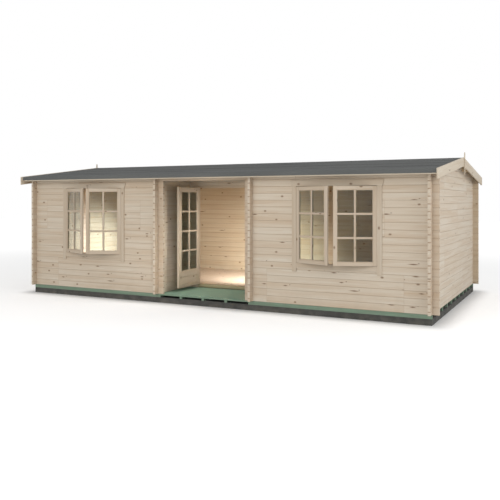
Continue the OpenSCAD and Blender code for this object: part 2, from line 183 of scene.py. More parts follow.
# Limits of the random moves of the grain along, across and through a timber
GRAIN_FROM = (0.0, -0.03, -0.012)
GRAIN_TO = (60.0, 0.03, 0.012)


def bar_faces(rings: int) -> np.ndarray:
    """Faces of a bar of rings of eight points, with three quads on each end.

    Args:
        rings: Number of rings.

    Returns:
        Numbers of the points of each face, n by 4.
    """
    cap = np.array([[0, 1, 2, 7], [7, 2, 3, 6], [6, 3, 4, 5]])
    return np.concatenate([tube_faces(rings, RING), cap + RING * (rings - 1), cap[:, ::-1]])


@dataclass
class Timbers:
    """Straight timbers with bevelled edges, gathered first and then worked out together.

    Attributes:
        bevel: Width of the bevel along every edge.
        rows: Start, end, direction of the width, width, thickness and end slants of each timber.
        tip: Length and half width of pointed ends, or None for square ones.
    """

    bevel: float
    rows: list[tuple] = field(default_factory=list)
    tip: Span | None = None

    def add(self, start: Point, end: Point, across: Point, width: float, thickness: float,
            slants: Span = (0.0, 0.0)) -> None:
        """Adds one timber.

        Args:
            start: Middle of its first end.
            end: Middle of its other end.
            across: Direction of its width.
            width: Size in that direction.
            thickness: Size in the third direction.
            slants: Run along the timber for each metre across it, at the first and the other end.
        """
        self.rows.append((start, end, across, width, thickness, slants))

    def shape(self, seed: int) -> Shape:
        """Carries an eight-point outline along each timber in four rings.

        A point is the start, plus the axis times the ring's station, plus the width's direction times
        the outline's first coordinate, plus the third direction times its second. The end rings are
        drawn in by the bevel, and a slant moves a ring along by its share of the first coordinate.

        Args:
            seed: Start of the random draws that give each timber its own grain.

        Returns:
            All timbers as one shape.
        """
        start, end, across, width, thick, slant = (np.array(c, float) for c in zip(*self.rows))
        count = len(start)
        length = np.linalg.norm(end - start, axis=1)
        axis = (end - start) / length[:, None]
        through = np.cross(axis, across)
        run, tip_half = self.tip or (self.bevel, 0.0)
        zero = np.zeros(count)
        stations = np.stack([zero, zero + run, length - run, length], axis=1)
        ends = np.array([1, 0, 0, 1])
        drawn = self.bevel if self.tip is None else (width / 2 - tip_half - self.bevel)
        half_w = (width / 2)[:, None] - np.multiply.outer(zero + drawn, ends)
        half_t = (thick / 2)[:, None] - self.bevel * ends
        a = SIDE_ACROSS * (half_w[:, :, None] - self.bevel * BEVEL_ACROSS)
        t = SIDE_THROUGH * (half_t[:, :, None] - self.bevel * BEVEL_THROUGH)
        s = stations[:, :, None] + np.repeat(slant, 2, axis=1)[:, :, None] * a
        points = (start[:, None, None] + s[..., None] * axis[:, None, None]
                  + a[..., None] * across[:, None, None] + t[..., None] * through[:, None, None])
        offset = np.random.default_rng(seed).uniform(GRAIN_FROM, GRAIN_TO, (count, 3))
        grain = np.stack([s, a, t], axis=-1) + offset[:, None, None]
        quads = bar_faces(len(ends)) + RING * len(ends) * np.arange(count)[:, None, None]
        return Shape(points, quads, grain)


def studs(places: np.ndarray, radius: float, height: float) -> Shape:
    """Round screw heads that stand up from a level face.

    Three rings of eight points: the rim, the rim at half the height, and half the rim at the height.

    Args:
        places: Middles of the heads on the face, n by 3.
        radius: Radius of a head.
        height: Height of a head.

    Returns:
        All heads as one shape.
    """
    angle = np.arange(RING) * math.tau / RING
    reach = np.array([1.0, 1.0, 0.5])[:, None] * radius
    level = np.array([0.0, 0.5, 1.0])[:, None] * height + 0 * angle
    head = np.stack([reach * np.cos(angle), reach * np.sin(angle), level], axis=-1).reshape(-1, 3)
    points = places[:, None] + head
    quads = bar_faces(len(reach)) + len(head) * np.arange(len(places))[:, None, None]
    return Shape(points, quads, points)


def sheet_along_x(top: np.ndarray, under: np.ndarray, stations: np.ndarray) -> Shape:
    """Closed sheet between an upper and a lower line that are carried along X.

    A point is the station along X and the Y and Z of the line there, which may change with the station.

    Args:
        top: Y and Z of the upper line, stations by n by 2, from +Y to -Y.
        under: The same for the lower line.
        stations: Places along X.

    Returns:
        The sheet with its two long edges and its two ends closed.
    """
    lines = np.concatenate([top, under[:, ::-1]], axis=1)
    count, wide = lines.shape[:2]
    x = np.broadcast_to(stations[:, None, None], (count, wide, 1))
    points = np.concatenate([x, lines], axis=-1)
    i = np.arange(wide // 2 - 1)
    end = np.stack([i, wide - 1 - i, wide - 2 - i, i + 1], axis=-1)
    quads = np.concatenate([tube_faces(count, wide), end, end[:, ::-1] + (count - 1) * wide])
    return Shape(points, quads[:, ::-1], points)


def add_piece(name: str, shape: Shape, material: Material, slot: Slot, body: str, *replaced: str) -> None:
    """Puts a shape into the scene as a piece that rides on a body.

    Args:
        name: Name of the piece.
        shape: Its surface, with the grain kept as an attribute of the points.
        material: Its finish.
        slot: Slot of the record that the finish stands for; not used.
        body: Body that it moves with.
        replaced: Nodes that it stands for.
    """
    mesh = bpy.data.meshes.new(name)
    mesh.from_pydata(shape.points.tolist(), [], shape.quads.tolist())
    grain = mesh.attributes.new("grain", "FLOAT_VECTOR", "POINT")
    grain.data.foreach_set("vector", shape.grain.astype(np.float32).ravel())
    mesh.materials.append(material)
    piece = bpy.data.objects.new(name, mesh)
    bpy.context.scene.collection.objects.link(piece)
    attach(piece, body)
    if replaced:
        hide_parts(*replaced)
    log.info("%s: %d faces on %s", name, len(shape.quads), body)


def dress(material: Material, *nodes: str) -> None:
    """Gives nodes of the construction a finish in place of their plain one.

    Args:
        material: The finish.
        nodes: Names of the nodes.
    """
    for node in nodes:
        slots = frame["nodes"][node].data.materials
        slots.clear()
        slots.append(material)
        log.info("%s: dressed with %s", node, material.name)


# Finishes

WHITE = (1.0, 1.0, 1.0, 1.0)


def colour(code: str) -> tuple[float, ...]:
    """Linear colour of a screen colour, by the standard curve of screens.

    Args:
        code: Six hexadecimal digits.

    Returns:
        Red, green, blue and an alpha of 1.
    """
    screen = np.array([int(code[i:i + 2], 16) for i in (0, 2, 4)]) / 255
    plain = np.where(screen <= 0.04045, screen / 12.92, ((screen + 0.055) / 1.055) ** 2.4)
    return (*plain.tolist(), 1.0)


class Nodes:
    """Adds and joins the nodes of one tree."""

    def __init__(self, tree: Tree) -> None:
        """Keeps the tree that the nodes go into."""
        self.tree = tree

    def add(self, kind: str, **settings: object) -> Node:
        """Adds a node.

        Args:
            kind: Type of the node without its common prefix.
            settings: Properties to set on it.

        Returns:
            The node.
        """
        node = self.tree.nodes.new("ShaderNode" + kind)
        for name, value in settings.items():
            setattr(node, name, value)
        return node

    def feed(self, node: Node, inputs: dict) -> Node:
        """Joins sockets to inputs of a node, or sets plain values on them.

        Args:
            node: The node.
            inputs: Sockets and values by the number or the name of the input.

        Returns:
            The same node.
        """
        for place, value in inputs.items():
            if isinstance(value, Socket):
                self.tree.links.new(value, node.inputs[place])
            else:
                node.inputs[place].default_value = value
        return node

    def math(self, operation: str, *values: Value, clamp: bool = False) -> Socket:
        """Works out an operation on numbers, kept from 0 to 1 where it is clamped."""
        node = self.add("Math", operation=operation, use_clamp=clamp)
        return self.feed(node, dict(enumerate(values))).outputs[0]

    def square(self, value: Value, size: float = 1.0) -> Socket:
        """Squares a number that is measured in units of a size."""
        part = self.math("DIVIDE", value, size)
        return self.math("MULTIPLY", part, part)

    def scaled(self, vector: Value, factors: Point) -> Socket:
        """Multiplies each coordinate of a vector by its factor."""
        node = self.add("VectorMath", operation="MULTIPLY")
        return self.feed(node, {0: vector, 1: factors}).outputs[0]

    def split(self, vector: Value) -> list[Socket]:
        """Gives the three coordinates of a vector."""
        return list(self.feed(self.add("SeparateXYZ"), {0: vector}).outputs)

    def vector(self, *parts: Value) -> Socket:
        """Makes a vector of three numbers."""
        return self.feed(self.add("CombineXYZ"), dict(enumerate(parts))).outputs[0]

    def step(self, value: Value, low: float, high: float) -> Socket:
        """Rises smoothly from 0 at the first limit to 1 at the second, which may be the smaller one."""
        node = self.add("MapRange", interpolation_type="SMOOTHSTEP")
        return self.feed(node, {0: value, 1: low, 2: high}).outputs[0]

    def mix(self, share: Value, first: Value, second: Value) -> Socket:
        """Mixes two colours by the share of the second."""
        node = self.add("Mix", data_type="RGBA")
        return self.feed(node, {0: share, 6: first, 7: second}).outputs[2]

    def noise(self, place: Value, scale: Value = 1.0, detail: float = 2.0) -> Socket:
        """Gives a cloudy noise from 0 to 1, with a number of clouds for each unit and of finer layers."""
        node = self.add("TexNoise", noise_dimensions="3D")
        return self.feed(node, {"Vector": place, "Scale": scale, "Detail": detail}).outputs["Fac"]

    def draw(self, *parts: Value) -> list[Socket]:
        """Draws three random numbers from 0 to 1 that belong to a place."""
        node = self.add("TexWhiteNoise", noise_dimensions="3D")
        return self.split(self.feed(node, {"Vector": self.vector(*parts)}).outputs["Color"])

    def place(self, group: Tree, **inputs: Value) -> bpy.types.bpy_prop_collection:
        """Places a node group with inputs by name, and gives its outputs."""
        return self.feed(self.add("Group", node_tree=group), inputs).outputs

    def end(self, output: str, share: Socket, first: Node, second: Node) -> None:
        """Mixes two shaders by the share of the second, and feeds the tree's output node with them."""
        both = self.feed(self.add("MixShader"), {0: share, 1: first.outputs[0], 2: second.outputs[0]})
        self.feed(self.tree.nodes[output], {"Surface": both.outputs[0]})


def new_group(name: str, inputs: dict[str, str], outputs: dict[str, str]) -> tuple[Nodes, dict, Node]:
    """Starts a shader node group.

    Args:
        name: Name of the group.
        inputs: Kind of each input, by name.
        outputs: Kind of each output, by name.

    Returns:
        Its nodes, the sockets that give its inputs, and the node that takes its outputs.
    """
    tree = bpy.data.node_groups.new(name, "ShaderNodeTree")
    for way, sockets in (("INPUT", inputs), ("OUTPUT", outputs)):
        for socket, kind in sockets.items():
            tree.interface.new_socket(socket, in_out=way, socket_type="NodeSocket" + kind)
    source = tree.nodes.new("NodeGroupInput").outputs
    return Nodes(tree), {n: source[n] for n in inputs}, tree.nodes.new("NodeGroupOutput")


TIMBER_IN = {"Pale": "Color", "Late": "Color", "Knot": "Color", "Knots": "Float"}
TIMBER_OUT = {"Color": "Color", "Roughness": "Float", "Height": "Float"}
# Sizes along and across the grain of the cell of one knot, a streak, the bud beside it and a round knot
KNOT_CELL = (1.1, 0.13)
STREAK = (0.085, 0.013)
BUD_PLACE = (0.08, 0.01846)
BUD = (0.014286, 0.007692)
ROUND_KNOT = (0.017, 0.011)
# Size of the smallest knots, what the largest add to it, and offsets that set the two kinds apart
KNOT_LEAST = 0.6
KNOT_MORE = 0.8
STREAK_SHIFT = 0.0
ROUND_SHIFT = 5.3
# Width of a growth ring, reach and depth of the pith, and how far clouds and knots push the rings
GROWTH_RING = 0.0055
PITH_REACH = 0.12
PITH_DEPTH = 0.07
CLOUD_PUSH = 0.03
KNOT_PUSH = 0.011
# Rates of the clouds, the bands and the fibres along, across and through the grain
CLOUD_RATE = (0.8, 3.0, 3.0)
BAND_RATE = (0.55, 17.0, 17.0)
FIBRE_RATE = (3.5, 170.0, 170.0)
# Shares of late wood, bands, shade and fibres in the tone of the wood, and where the tone begins
LATE_SHARE = 0.2
BAND_SHARE = 0.36
SHADE_SHARE = 0.14
FIBRE_SHARE = 0.22
TONE_START = -0.1
# Shares of the colours around the knots and in them, and of late wood in the colour around them
HALO_SHARE = 0.7
CORE_SHARE = 0.56
RUSSET_SHARE = 0.45
# Roughness of the smoothest fibres, what the roughest add to it, and the height of late wood
WOOD_SMOOTH = 0.52
WOOD_ROUGH = 0.2
LATE_HEIGHT = 0.5


def knot_layer(n: Nodes, along: Value, across: Value, shift: float, share: Value) -> tuple[Socket, ...]:
    """Scatters knots over cells that are long in the direction of the grain.

    Args:
        n: Nodes of the group.
        along: Place along the grain.
        across: Place across it.
        shift: Offset that sets this layer apart from others.
        share: Share of the cells that hold a knot.

    Returns:
        Distance from the knot along and across the grain, whether the cell holds one, and a random size.
    """
    places = zip((along, across), KNOT_CELL)
    spot = n.vector(*(n.math("MULTIPLY_ADD", place, 1 / cell, shift) for place, cell in places), 0.0)
    cells = n.add("TexVoronoi", voronoi_dimensions="2D", feature="F1")
    n.feed(cells, {"Vector": spot, "Scale": 1.0})
    away = n.add("VectorMath", operation="SUBTRACT")
    n.feed(away, {0: spot, 1: cells.outputs["Position"]})
    dx, dy, _ = n.split(away.outputs[0])
    chance, size, _ = n.split(cells.outputs["Color"])
    return (n.math("MULTIPLY", dx, KNOT_CELL[0]), n.math("MULTIPLY", dy, KNOT_CELL[1]),
            n.math("LESS_THAN", chance, share), n.math("MULTIPLY_ADD", size, KNOT_MORE, KNOT_LEAST))


def pine_group() -> Tree:
    """Figure of sawn pine: growth rings about a pith beside the board, fibres, bands and knots.

    Grain holds the place along, across and through the board. The rings follow the distance from the
    pith, so that they run as lines on the faces and as arcs on the ends. They bulge around the knots.

    Returns:
        The group.
    """
    inputs = {"Grain": "Vector", "Shade": "Float", "Pith": "Float", **TIMBER_IN}
    n, given, out = new_group("pine_figure", inputs, TIMBER_OUT)
    grain = given["Grain"]
    along, across, through = n.split(grain)
    x, y, held, size = knot_layer(n, along, across, STREAK_SHIFT, given["Knots"])
    lens = n.math("DIVIDE", n.math("ABSOLUTE", x), n.math("MULTIPLY", size, STREAK[0]))
    lens = n.math("ADD", lens, n.square(y, STREAK[1]))
    bud = n.math("ADD", n.square(n.math("SUBTRACT", x, BUD_PLACE[0]), BUD[0]),
                 n.square(n.math("SUBTRACT", y, BUD_PLACE[1]), BUD[1]))
    streak = n.math("MULTIPLY", n.step(lens, 1.05, 0.35), held)
    core = n.math("MULTIPLY", n.math("MAXIMUM", n.step(lens, 0.7, 0.2), n.step(bud, 1.2, 0.5)), held)
    x, y, held, size = knot_layer(n, along, across, ROUND_SHIFT, given["Knots"])
    oval = n.math("ADD", n.square(x, ROUND_KNOT[0]), n.square(y, ROUND_KNOT[1]))
    oval = n.math("DIVIDE", oval, size)
    dot = n.math("MULTIPLY", n.step(oval, 1.0, 0.4), held)
    halo = n.math("MULTIPLY", n.step(oval, 5.0, 0.6), held)
    clouds = n.noise(n.scaled(grain, CLOUD_RATE))
    pith = n.math("MULTIPLY_ADD", given["Pith"], PITH_REACH, -PITH_REACH / 2)
    radius = n.math("SQRT", n.math("ADD", n.square(n.math("ADD", across, pith)),
                                   n.square(n.math("ADD", through, PITH_DEPTH))))
    radius = n.math("MULTIPLY_ADD", clouds, CLOUD_PUSH, radius)
    push = n.math("MULTIPLY", held, KNOT_PUSH)
    radius = n.math("MULTIPLY_ADD", n.step(oval, 12.0, 0.0), push, radius)
    ring = n.math("FRACT", n.math("DIVIDE", radius, GROWTH_RING))
    late = n.math("MULTIPLY", n.step(ring, 0.3, 0.9), n.step(ring, 1.0, 0.93))
    band = n.noise(n.scaled(grain, BAND_RATE))
    fibre = n.noise(n.scaled(grain, FIBRE_RATE), detail=1.0)
    tone = n.math("MULTIPLY", n.step(band, 0.3, 0.75), BAND_SHARE)
    tone = n.math("MULTIPLY_ADD", late, LATE_SHARE, tone)
    tone = n.math("MULTIPLY_ADD", given["Shade"], SHADE_SHARE, tone)
    tone = n.math("MULTIPLY_ADD", fibre, FIBRE_SHARE, n.math("ADD", tone, TONE_START), clamp=True)
    wood = n.mix(tone, given["Pale"], given["Late"])
    russet = n.mix(RUSSET_SHARE, given["Knot"], given["Late"])
    wood = n.mix(n.math("MULTIPLY", n.math("MAXIMUM", streak, halo), HALO_SHARE), wood, russet)
    wood = n.mix(n.math("MULTIPLY", n.math("MAXIMUM", core, dot), CORE_SHARE), wood, given["Knot"])
    rough = n.math("MULTIPLY_ADD", fibre, WOOD_ROUGH, WOOD_SMOOTH)
    height = n.math("ADD", n.math("MULTIPLY_ADD", late, LATE_HEIGHT, fibre), dot)
    n.feed(out, {"Color": wood, "Roughness": rough, "Height": height})
    return n.tree


# Widths and dark shares of the joints between logs, with what is added on the cut ends, and of the butts
JOINT_W = 0.006
CUT_JOINT_W = 0.007
JOINT_DARK = 0.25
CUT_JOINT_DARK = 0.4
BUTT_W = 0.005
BUTT_DARK = 0.25
# Courses that share the places of their butts, and the range of the figure's random moves along a log
BUTT_COURSES = 5.0
LOG_MOVE = 57.0


def log_group(pine: Tree) -> Tree:
    """Courses of logs: each log and each length of it gets a figure of its own, with dark joints.

    The height gives the course, and the place along the wall the length of timber in it. Both name
    the random numbers that move the figure. The joints darken towards the edges of a course.

    Args:
        pine: Group with the figure of one board.

    Returns:
        The group.
    """
    inputs = {"Place": "Vector", "Base": "Float", "Course": "Float", "Length": "Float", "Wall": "Float",
              "Joint": "Color", "Cut": "Float", **TIMBER_IN}
    n, given, out = new_group("log_courses", inputs, TIMBER_OUT)
    along, through, height = n.split(given["Place"])
    rise = n.math("DIVIDE", n.math("SUBTRACT", height, given["Base"]), given["Course"])
    course, part = n.math("FLOOR", rise), n.math("FRACT", rise)
    first, _, _ = n.draw(n.math("FLOOR", n.math("DIVIDE", course, BUTT_COURSES)), given["Wall"], 0.5)
    run = n.math("ADD", n.math("DIVIDE", along, given["Length"]), first)
    piece, share = n.math("FLOOR", run), n.math("FRACT", run)
    move, shade, pith = n.draw(course, piece, given["Wall"])
    grain = n.vector(n.math("MULTIPLY_ADD", move, LOG_MOVE, along),
                     n.math("MULTIPLY", n.math("ADD", part, -0.5), given["Course"]), through)
    tint = {name: given[name] for name in TIMBER_IN}
    figure = n.place(pine, Grain=grain, Shade=shade, Pith=pith, **tint)

    def edge(place: Value, size: Value, width: Value) -> Socket:
        """Rises to 1 at both ends of a stretch, within a width in metres."""
        near = n.math("MULTIPLY", n.math("MINIMUM", place, n.math("SUBTRACT", 1.0, place)), size)
        return n.step(n.math("DIVIDE", near, width), 1.0, 0.3)

    joint_w = n.math("MULTIPLY_ADD", given["Cut"], CUT_JOINT_W, JOINT_W)
    dark = n.math("MULTIPLY_ADD", given["Cut"], CUT_JOINT_DARK, JOINT_DARK)
    joint = n.math("MULTIPLY", edge(part, given["Course"], joint_w), dark)
    butt = n.math("MULTIPLY", edge(share, given["Length"], BUTT_W), BUTT_DARK)
    wood = n.mix(n.math("MAXIMUM", joint, butt), figure["Color"], given["Joint"])
    n.feed(out, {"Color": wood, "Roughness": figure["Roughness"],
                 "Height": n.math("SUBTRACT", figure["Height"], butt)})
    return n.tree


def speckle_group() -> Tree:
    """Mottled grains of stone or mineral: fine grains over slow clouds.

    Returns:
        The group.
    """
    inputs = {"Place": "Vector", "Spread": "Vector", "Grains": "Float", "Clouds": "Float",
              "Mottle": "Float", "Low": "Color", "High": "Color"}
    n, given, out = new_group("mineral_speckle", inputs, {"Color": "Color", "Height": "Float"})
    grains = n.noise(given["Place"], given["Grains"], 3.0)
    clouds = n.noise(given["Spread"], given["Clouds"], 3.0)
    fine = n.math("MULTIPLY", n.step(grains, 0.3, 0.7), n.math("SUBTRACT", 1.0, given["Mottle"]))
    share = n.math("MULTIPLY_ADD", n.step(clouds, 0.3, 0.7), given["Mottle"], fine)
    n.feed(out, {"Color": n.mix(share, given["Low"], given["High"]), "Height": grains})
    return n.tree


def dust_group() -> Tree:
    """Dust that settles near the ground, thinner with height and broken up by clouds.

    Returns:
        The group.
    """
    n, given, out = new_group("ground_dust", {"Place": "Vector", "Reach": "Float"}, {"Mask": "Float"})
    _, _, height = n.split(given["Place"])
    low = n.math("SUBTRACT", 1.0, n.math("DIVIDE", height, given["Reach"]), clamp=True)
    clouds = n.step(n.noise(given["Place"], 6.0, 4.0), 0.35, 0.7)
    n.feed(out, {"Mask": n.math("MULTIPLY", low, clouds)})
    return n.tree


@dataclass(frozen=True)
class Groups:
    """Shader node groups that several finishes share."""

    pine: Tree
    logs: Tree
    speckle: Tree
    dust: Tree

    @classmethod
    def build(cls) -> "Groups":
        """Builds each group once."""
        pine = pine_group()
        return cls(pine, log_group(pine), speckle_group(), dust_group())


@dataclass(frozen=True)
class Dust:
    """Dust on a surface near the ground.

    Attributes:
        share: Share of its colour where it lies thickest.
        reach: Height that it reaches.
        tint: Its screen colour.
    """

    share: float
    reach: float
    tint: str


class Paint(Nodes):
    """Nodes of one material around its shader."""

    def __init__(self, name: str) -> None:
        """Starts the material and reads the places on its surface.

        Args:
            name: Name of the material.
        """
        self.material = bpy.data.materials.new(name)
        self.material.use_nodes = True
        super().__init__(self.material.node_tree)
        self.shader = self.tree.nodes["Principled BSDF"]
        self.spot = self.add("TexCoord").outputs

    def set(self, **inputs: Value) -> None:
        """Feeds inputs of the shader by name, with underscores for spaces."""
        self.feed(self.shader, {name.replace("_", " "): value for name, value in inputs.items()})

    def bump(self, height: Socket, depth: float, strength: float) -> None:
        """Roughens the surface by a height of about 0 to 1, which stands for a depth in metres."""
        bump = self.feed(self.add("Bump"), {"Strength": strength, "Distance": depth, "Height": height})
        self.set(Normal=bump.outputs["Normal"])

    def dusted(self, surface: Socket, group: Tree, dust: Dust) -> Socket:
        """Lays dust over a colour."""
        mask = self.place(group, Place=self.spot["Object"], Reach=dust.reach)["Mask"]
        return self.mix(self.math("MULTIPLY", mask, dust.share), surface, colour(dust.tint))


@dataclass(frozen=True)
class PineTint:
    """Colours of one kind of pine, as screen colours.

    Attributes:
        pale: Colour of the early wood.
        late: Colour of the late wood and of darker boards.
        knot: Colour of the knots.
        knots: Share of the places for knots that hold one.
    """

    pale: str
    late: str
    knot: str
    knots: float

    def inputs(self) -> dict[str, Value]:
        """Inputs of the timber groups."""
        tints = {"Pale": self.pale, "Late": self.late, "Knot": self.knot}
        return {"Knots": self.knots, **{name: colour(code) for name, code in tints.items()}}


JOINERY_TINT = PineTint("c7bbab", "af987b", "5a3d28", 0.34)
TRIM_TINT = PineTint("c9beae", "b29c81", "533826", 0.4)
# Painted light: the edging is a paler copy of the trim pine, to lift the eave boards in the shade under the
# felt's lip; the bargeboards and finials share it.
LIT_EDGING_TINT = PineTint("cec4b3", "b7a288", "533826", 0.4)
# Painted shade: the threshold's hardwood tint is darker than the joinery for the shade at the foot of the
# doorway.
SHADED_OAK_TINT = PineTint("b3a88a", "8c7d5f", "4a3826", 0.4)
TIMBER_BUMP = 0.35
MINERAL_BUMP = 0.4


@dataclass(frozen=True)
class LogFinish:
    """Finish of a wall of logs, read in the frame of the house.

    Attributes:
        name: Name of the finish.
        tint: Colours of the timber.
        run: Direction of the logs.
        middle: Place of the wall's middle plane across the logs.
        base: Level at which a course begins.
        reach: Distance from the middle of the house along the logs at which their ends pass a corner.
        inner: Distance within which they pass the corner of the porch, or 0.
        length: Length of the timbers in a course.
        joint: Colour in the joints, which are wider on the cut ends.
        stub_shade: Painted shade: a darker colour laid over the faces of the logs past a corner, other than
            their cut ends, for the shade that falls on the stubs there.
        stub_shade_share: Share of that painted shade.
        dust: Dust at the foot of the wall.
        depth: Depth of the grain.
    """

    name: str
    tint: PineTint
    run: Run
    middle: float
    base: float
    reach: float
    inner: float = 0.0
    length: float = 2.3
    joint: str = "8c6c4b"
    stub_shade: str = "ae957a"
    stub_shade_share: float = 0.34
    dust: Dust = Dust(0.12, 0.9, "8d7f6c")
    depth: float = 0.0008

    def material(self, groups: Groups) -> Material:
        """Builds the material.

        Args:
            groups: Shared groups.

        Returns:
            The material.
        """
        n = Paint(self.name)
        along_x = self.run is Run.ALONG_X
        lay = n.feed(n.add("Mapping"), {
            "Vector": n.spot["Object"],
            "Rotation": (0.0, 0.0, math.radians(self.run.value)),
            "Location": (0.0, -self.middle if along_x else self.middle, 0.0),
        }).outputs["Vector"]
        facing = n.split(n.spot["Normal"])[0 if along_x else 1]
        cut = n.step(n.math("ABSOLUTE", facing), 0.7, 0.9)
        logs = n.place(groups.logs, Place=lay, Base=self.base, Course=COURSE, Length=self.length,
                       Wall=self.middle, Joint=colour(self.joint), Cut=cut, **self.tint.inputs())
        along = n.math("ABSOLUTE", n.split(lay)[0])
        past = n.math("GREATER_THAN", along, self.reach)
        if self.inner:
            past = n.math("MAXIMUM", past, n.math("LESS_THAN", along, self.inner))
        # Painted shade: the logs past a corner are darkened on every face but their cut ends.
        stub_shade = n.math("MULTIPLY", n.math("SUBTRACT", past, cut, clamp=True), self.stub_shade_share)
        wood = n.dusted(n.mix(stub_shade, logs["Color"], colour(self.stub_shade)), groups.dust, self.dust)
        n.set(Base_Color=wood, Roughness=logs["Roughness"])
        n.bump(logs["Height"], self.depth, TIMBER_BUMP)
        return n.material


class Source(Enum):
    """Where a timber finish reads its grain: the piece's attribute, or the frame along X or Y."""

    ATTRIBUTE = "grain"
    FRAME_X = "x"
    FRAME_Y = "y"


@dataclass(frozen=True)
class TimberFinish:
    """Finish of sawn timbers.

    Attributes:
        name: Name of the finish.
        tint: Colours of the timber.
        source: Where the grain is read.
        dust: Dust on the timbers, or None.
        shades: Changes of shade for each metre along, across and through a timber.
        pith: Place of the pith beside a timber, from 0 to 1.
        depth: Depth of the grain.
    """

    name: str
    tint: PineTint
    source: Source = Source.ATTRIBUTE
    dust: Dust | None = None
    shades: Point = (0.03, 0.4, 0.4)
    pith: float = 0.7
    depth: float = 0.0006

    def material(self, groups: Groups) -> Material:
        """Builds the material.

        Args:
            groups: Shared groups.

        Returns:
            The material.
        """
        n = Paint(self.name)
        if self.source is Source.ATTRIBUTE:
            grain = n.add("Attribute", attribute_name=self.source.value).outputs["Vector"]
        else:
            x, y, z = n.split(n.spot["Object"])
            grain = n.vector(x, z, y) if self.source is Source.FRAME_X else n.vector(y, z, x)
        shade = n.step(n.noise(n.scaled(grain, self.shades)), 0.3, 0.7)
        figure = n.place(groups.pine, Grain=grain, Shade=shade, Pith=self.pith, **self.tint.inputs())
        wood = figure["Color"]
        if self.dust:
            wood = n.dusted(wood, groups.dust, self.dust)
        n.set(Base_Color=wood, Roughness=figure["Roughness"])
        n.bump(figure["Height"], self.depth, TIMBER_BUMP)
        return n.material


@dataclass(frozen=True)
class MineralFinish:
    """Finish of concrete or of mineral felt.

    Attributes:
        name: Name of the finish.
        low: Colour of the darker grains.
        high: Colour of the paler grains.
        grains: Grains for each metre.
        clouds: Clouds for each metre.
        mottle: Share of the clouds in the colour.
        roughness: Roughness of the surface.
        depth: Depth of the grains.
        dust: Dust on the surface, or None.
        spread: Closeness of the clouds along X, Y and Z.
    """

    name: str
    low: str
    high: str
    grains: float
    clouds: float
    mottle: float
    roughness: float
    depth: float
    dust: Dust | None = None
    spread: Point = (1.0, 1.0, 1.0)

    def material(self, groups: Groups) -> Material:
        """Builds the material.

        Args:
            groups: Shared groups.

        Returns:
            The material.
        """
        n = Paint(self.name)
        spot = n.spot["Object"]
        grains = n.place(groups.speckle, Place=spot, Spread=n.scaled(spot, self.spread),
                         Grains=self.grains, Clouds=self.clouds, Mottle=self.mottle,
                         Low=colour(self.low), High=colour(self.high))
        surface = grains["Color"]
        if self.dust:
            surface = n.dusted(surface, groups.dust, self.dust)
        n.set(Base_Color=surface, Roughness=self.roughness)
        n.bump(grains["Height"], self.depth, MINERAL_BUMP)
        return n.material


@dataclass(frozen=True)
class GlassFinish:
    """Clear window glass with a faint haze, which dims the light of lamps that passes it.

    Attributes:
        name: Name of the finish.
        tint: Colour of the glass.
        shade: Colour that it gives to light that passes it.
        haze: Roughness where the haze is thickest.
        bend: Index of refraction.
        shine: Strength of the reflection.
    """

    name: str = "window_glass"
    tint: str = "dfe8e2"
    shade: str = "5c605c"
    haze: float = 0.03
    bend: float = 1.45
    shine: float = 0.08

    def material(self) -> Material:
        """Builds the material.

        Returns:
            The material.
        """
        n = Paint(self.name)
        haze = n.step(n.noise(n.spot["Object"], 3.0, 3.0), 0.4, 0.75)
        n.set(Base_Color=colour(self.tint), Transmission_Weight=1.0, IOR=self.bend,
              Specular_IOR_Level=self.shine, Roughness=n.math("MULTIPLY", haze, self.haze))
        clear = n.feed(n.add("BsdfTransparent"), {"Color": colour(self.shade)})
        n.end("Material Output", n.add("LightPath").outputs["Is Shadow Ray"], n.shader, clear)
        return n.material


@dataclass(frozen=True)
class SteelFinish:
    """Zinc-coated steel with a brushed surface.

    Attributes:
        name: Name of the finish.
        low: Colour of the darker strokes.
        high: Colour of the paler strokes.
        strokes: Strokes for each metre along X, Y and Z.
        smooth: Roughness of the smoothest strokes.
        rough: What the roughest ones add to it.
    """

    name: str = "zinc_steel"
    low: str = "8f9294"
    high: str = "c3c5c6"
    strokes: Point = (900.0, 900.0, 60.0)
    smooth: float = 0.28
    rough: float = 0.2

    def material(self) -> Material:
        """Builds the material.

        Returns:
            The material.
        """
        n = Paint(self.name)
        brushed = n.noise(n.scaled(n.spot["Object"], self.strokes))
        n.set(Base_Color=n.mix(brushed, colour(self.low), colour(self.high)), Metallic=1.0,
              Roughness=n.math("MULTIPLY_ADD", brushed, self.rough, self.smooth))
        return n.material


# Sub-assemblies

@dataclass
class Walls:
    """Log walls of the house, which keep the construction's own logs."""

    groups: Groups
    tint: PineTint = PineTint("d2c9ba", "b99f81", "5a3f2c", 0.45)
    back_tint: PineTint = PineTint("d2c8b4", "b99e7b", "5a3f2c", 0.45)
    cross_tint: PineTint = PineTint("d2c9ba", "b99f81", "5a3f2c", 0.27)

    def dress(self) -> None:
        """Gives every wall a finish that runs along its logs."""
        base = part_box("front_wall_right")[0].z
        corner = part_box("front_wall_right")[1].x - LOG_END
        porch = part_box("porch_wall_right")[0].x
        front = -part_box("right_gable")[0].y - LOG_END
        long_walls = (
            ("front", self.tint, porch, ("front_wall_left", "front_wall_right", "front_top_log")),
            ("back", self.back_tint, 0.0, ("back_wall",)),
            ("porch_back", self.tint, 0.0, ("porch_back_wall", "logs_over_door")),
        )
        for name, tint, inner, nodes in long_walls:
            low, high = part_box(nodes[0])
            finish = LogFinish("logs_" + name, tint, Run.ALONG_X, (low.y + high.y) / 2, base, corner, inner)
            dress(finish.material(self.groups), *nodes)
        for node in ("left_gable", "right_gable", "porch_wall_left", "porch_wall_right"):
            low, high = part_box(node)
            finish = LogFinish("logs_" + node, self.cross_tint, Run.ALONG_Y, (low.x + high.x) / 2,
                               base - COURSE / 2, front)
            dress(finish.material(self.groups), node)


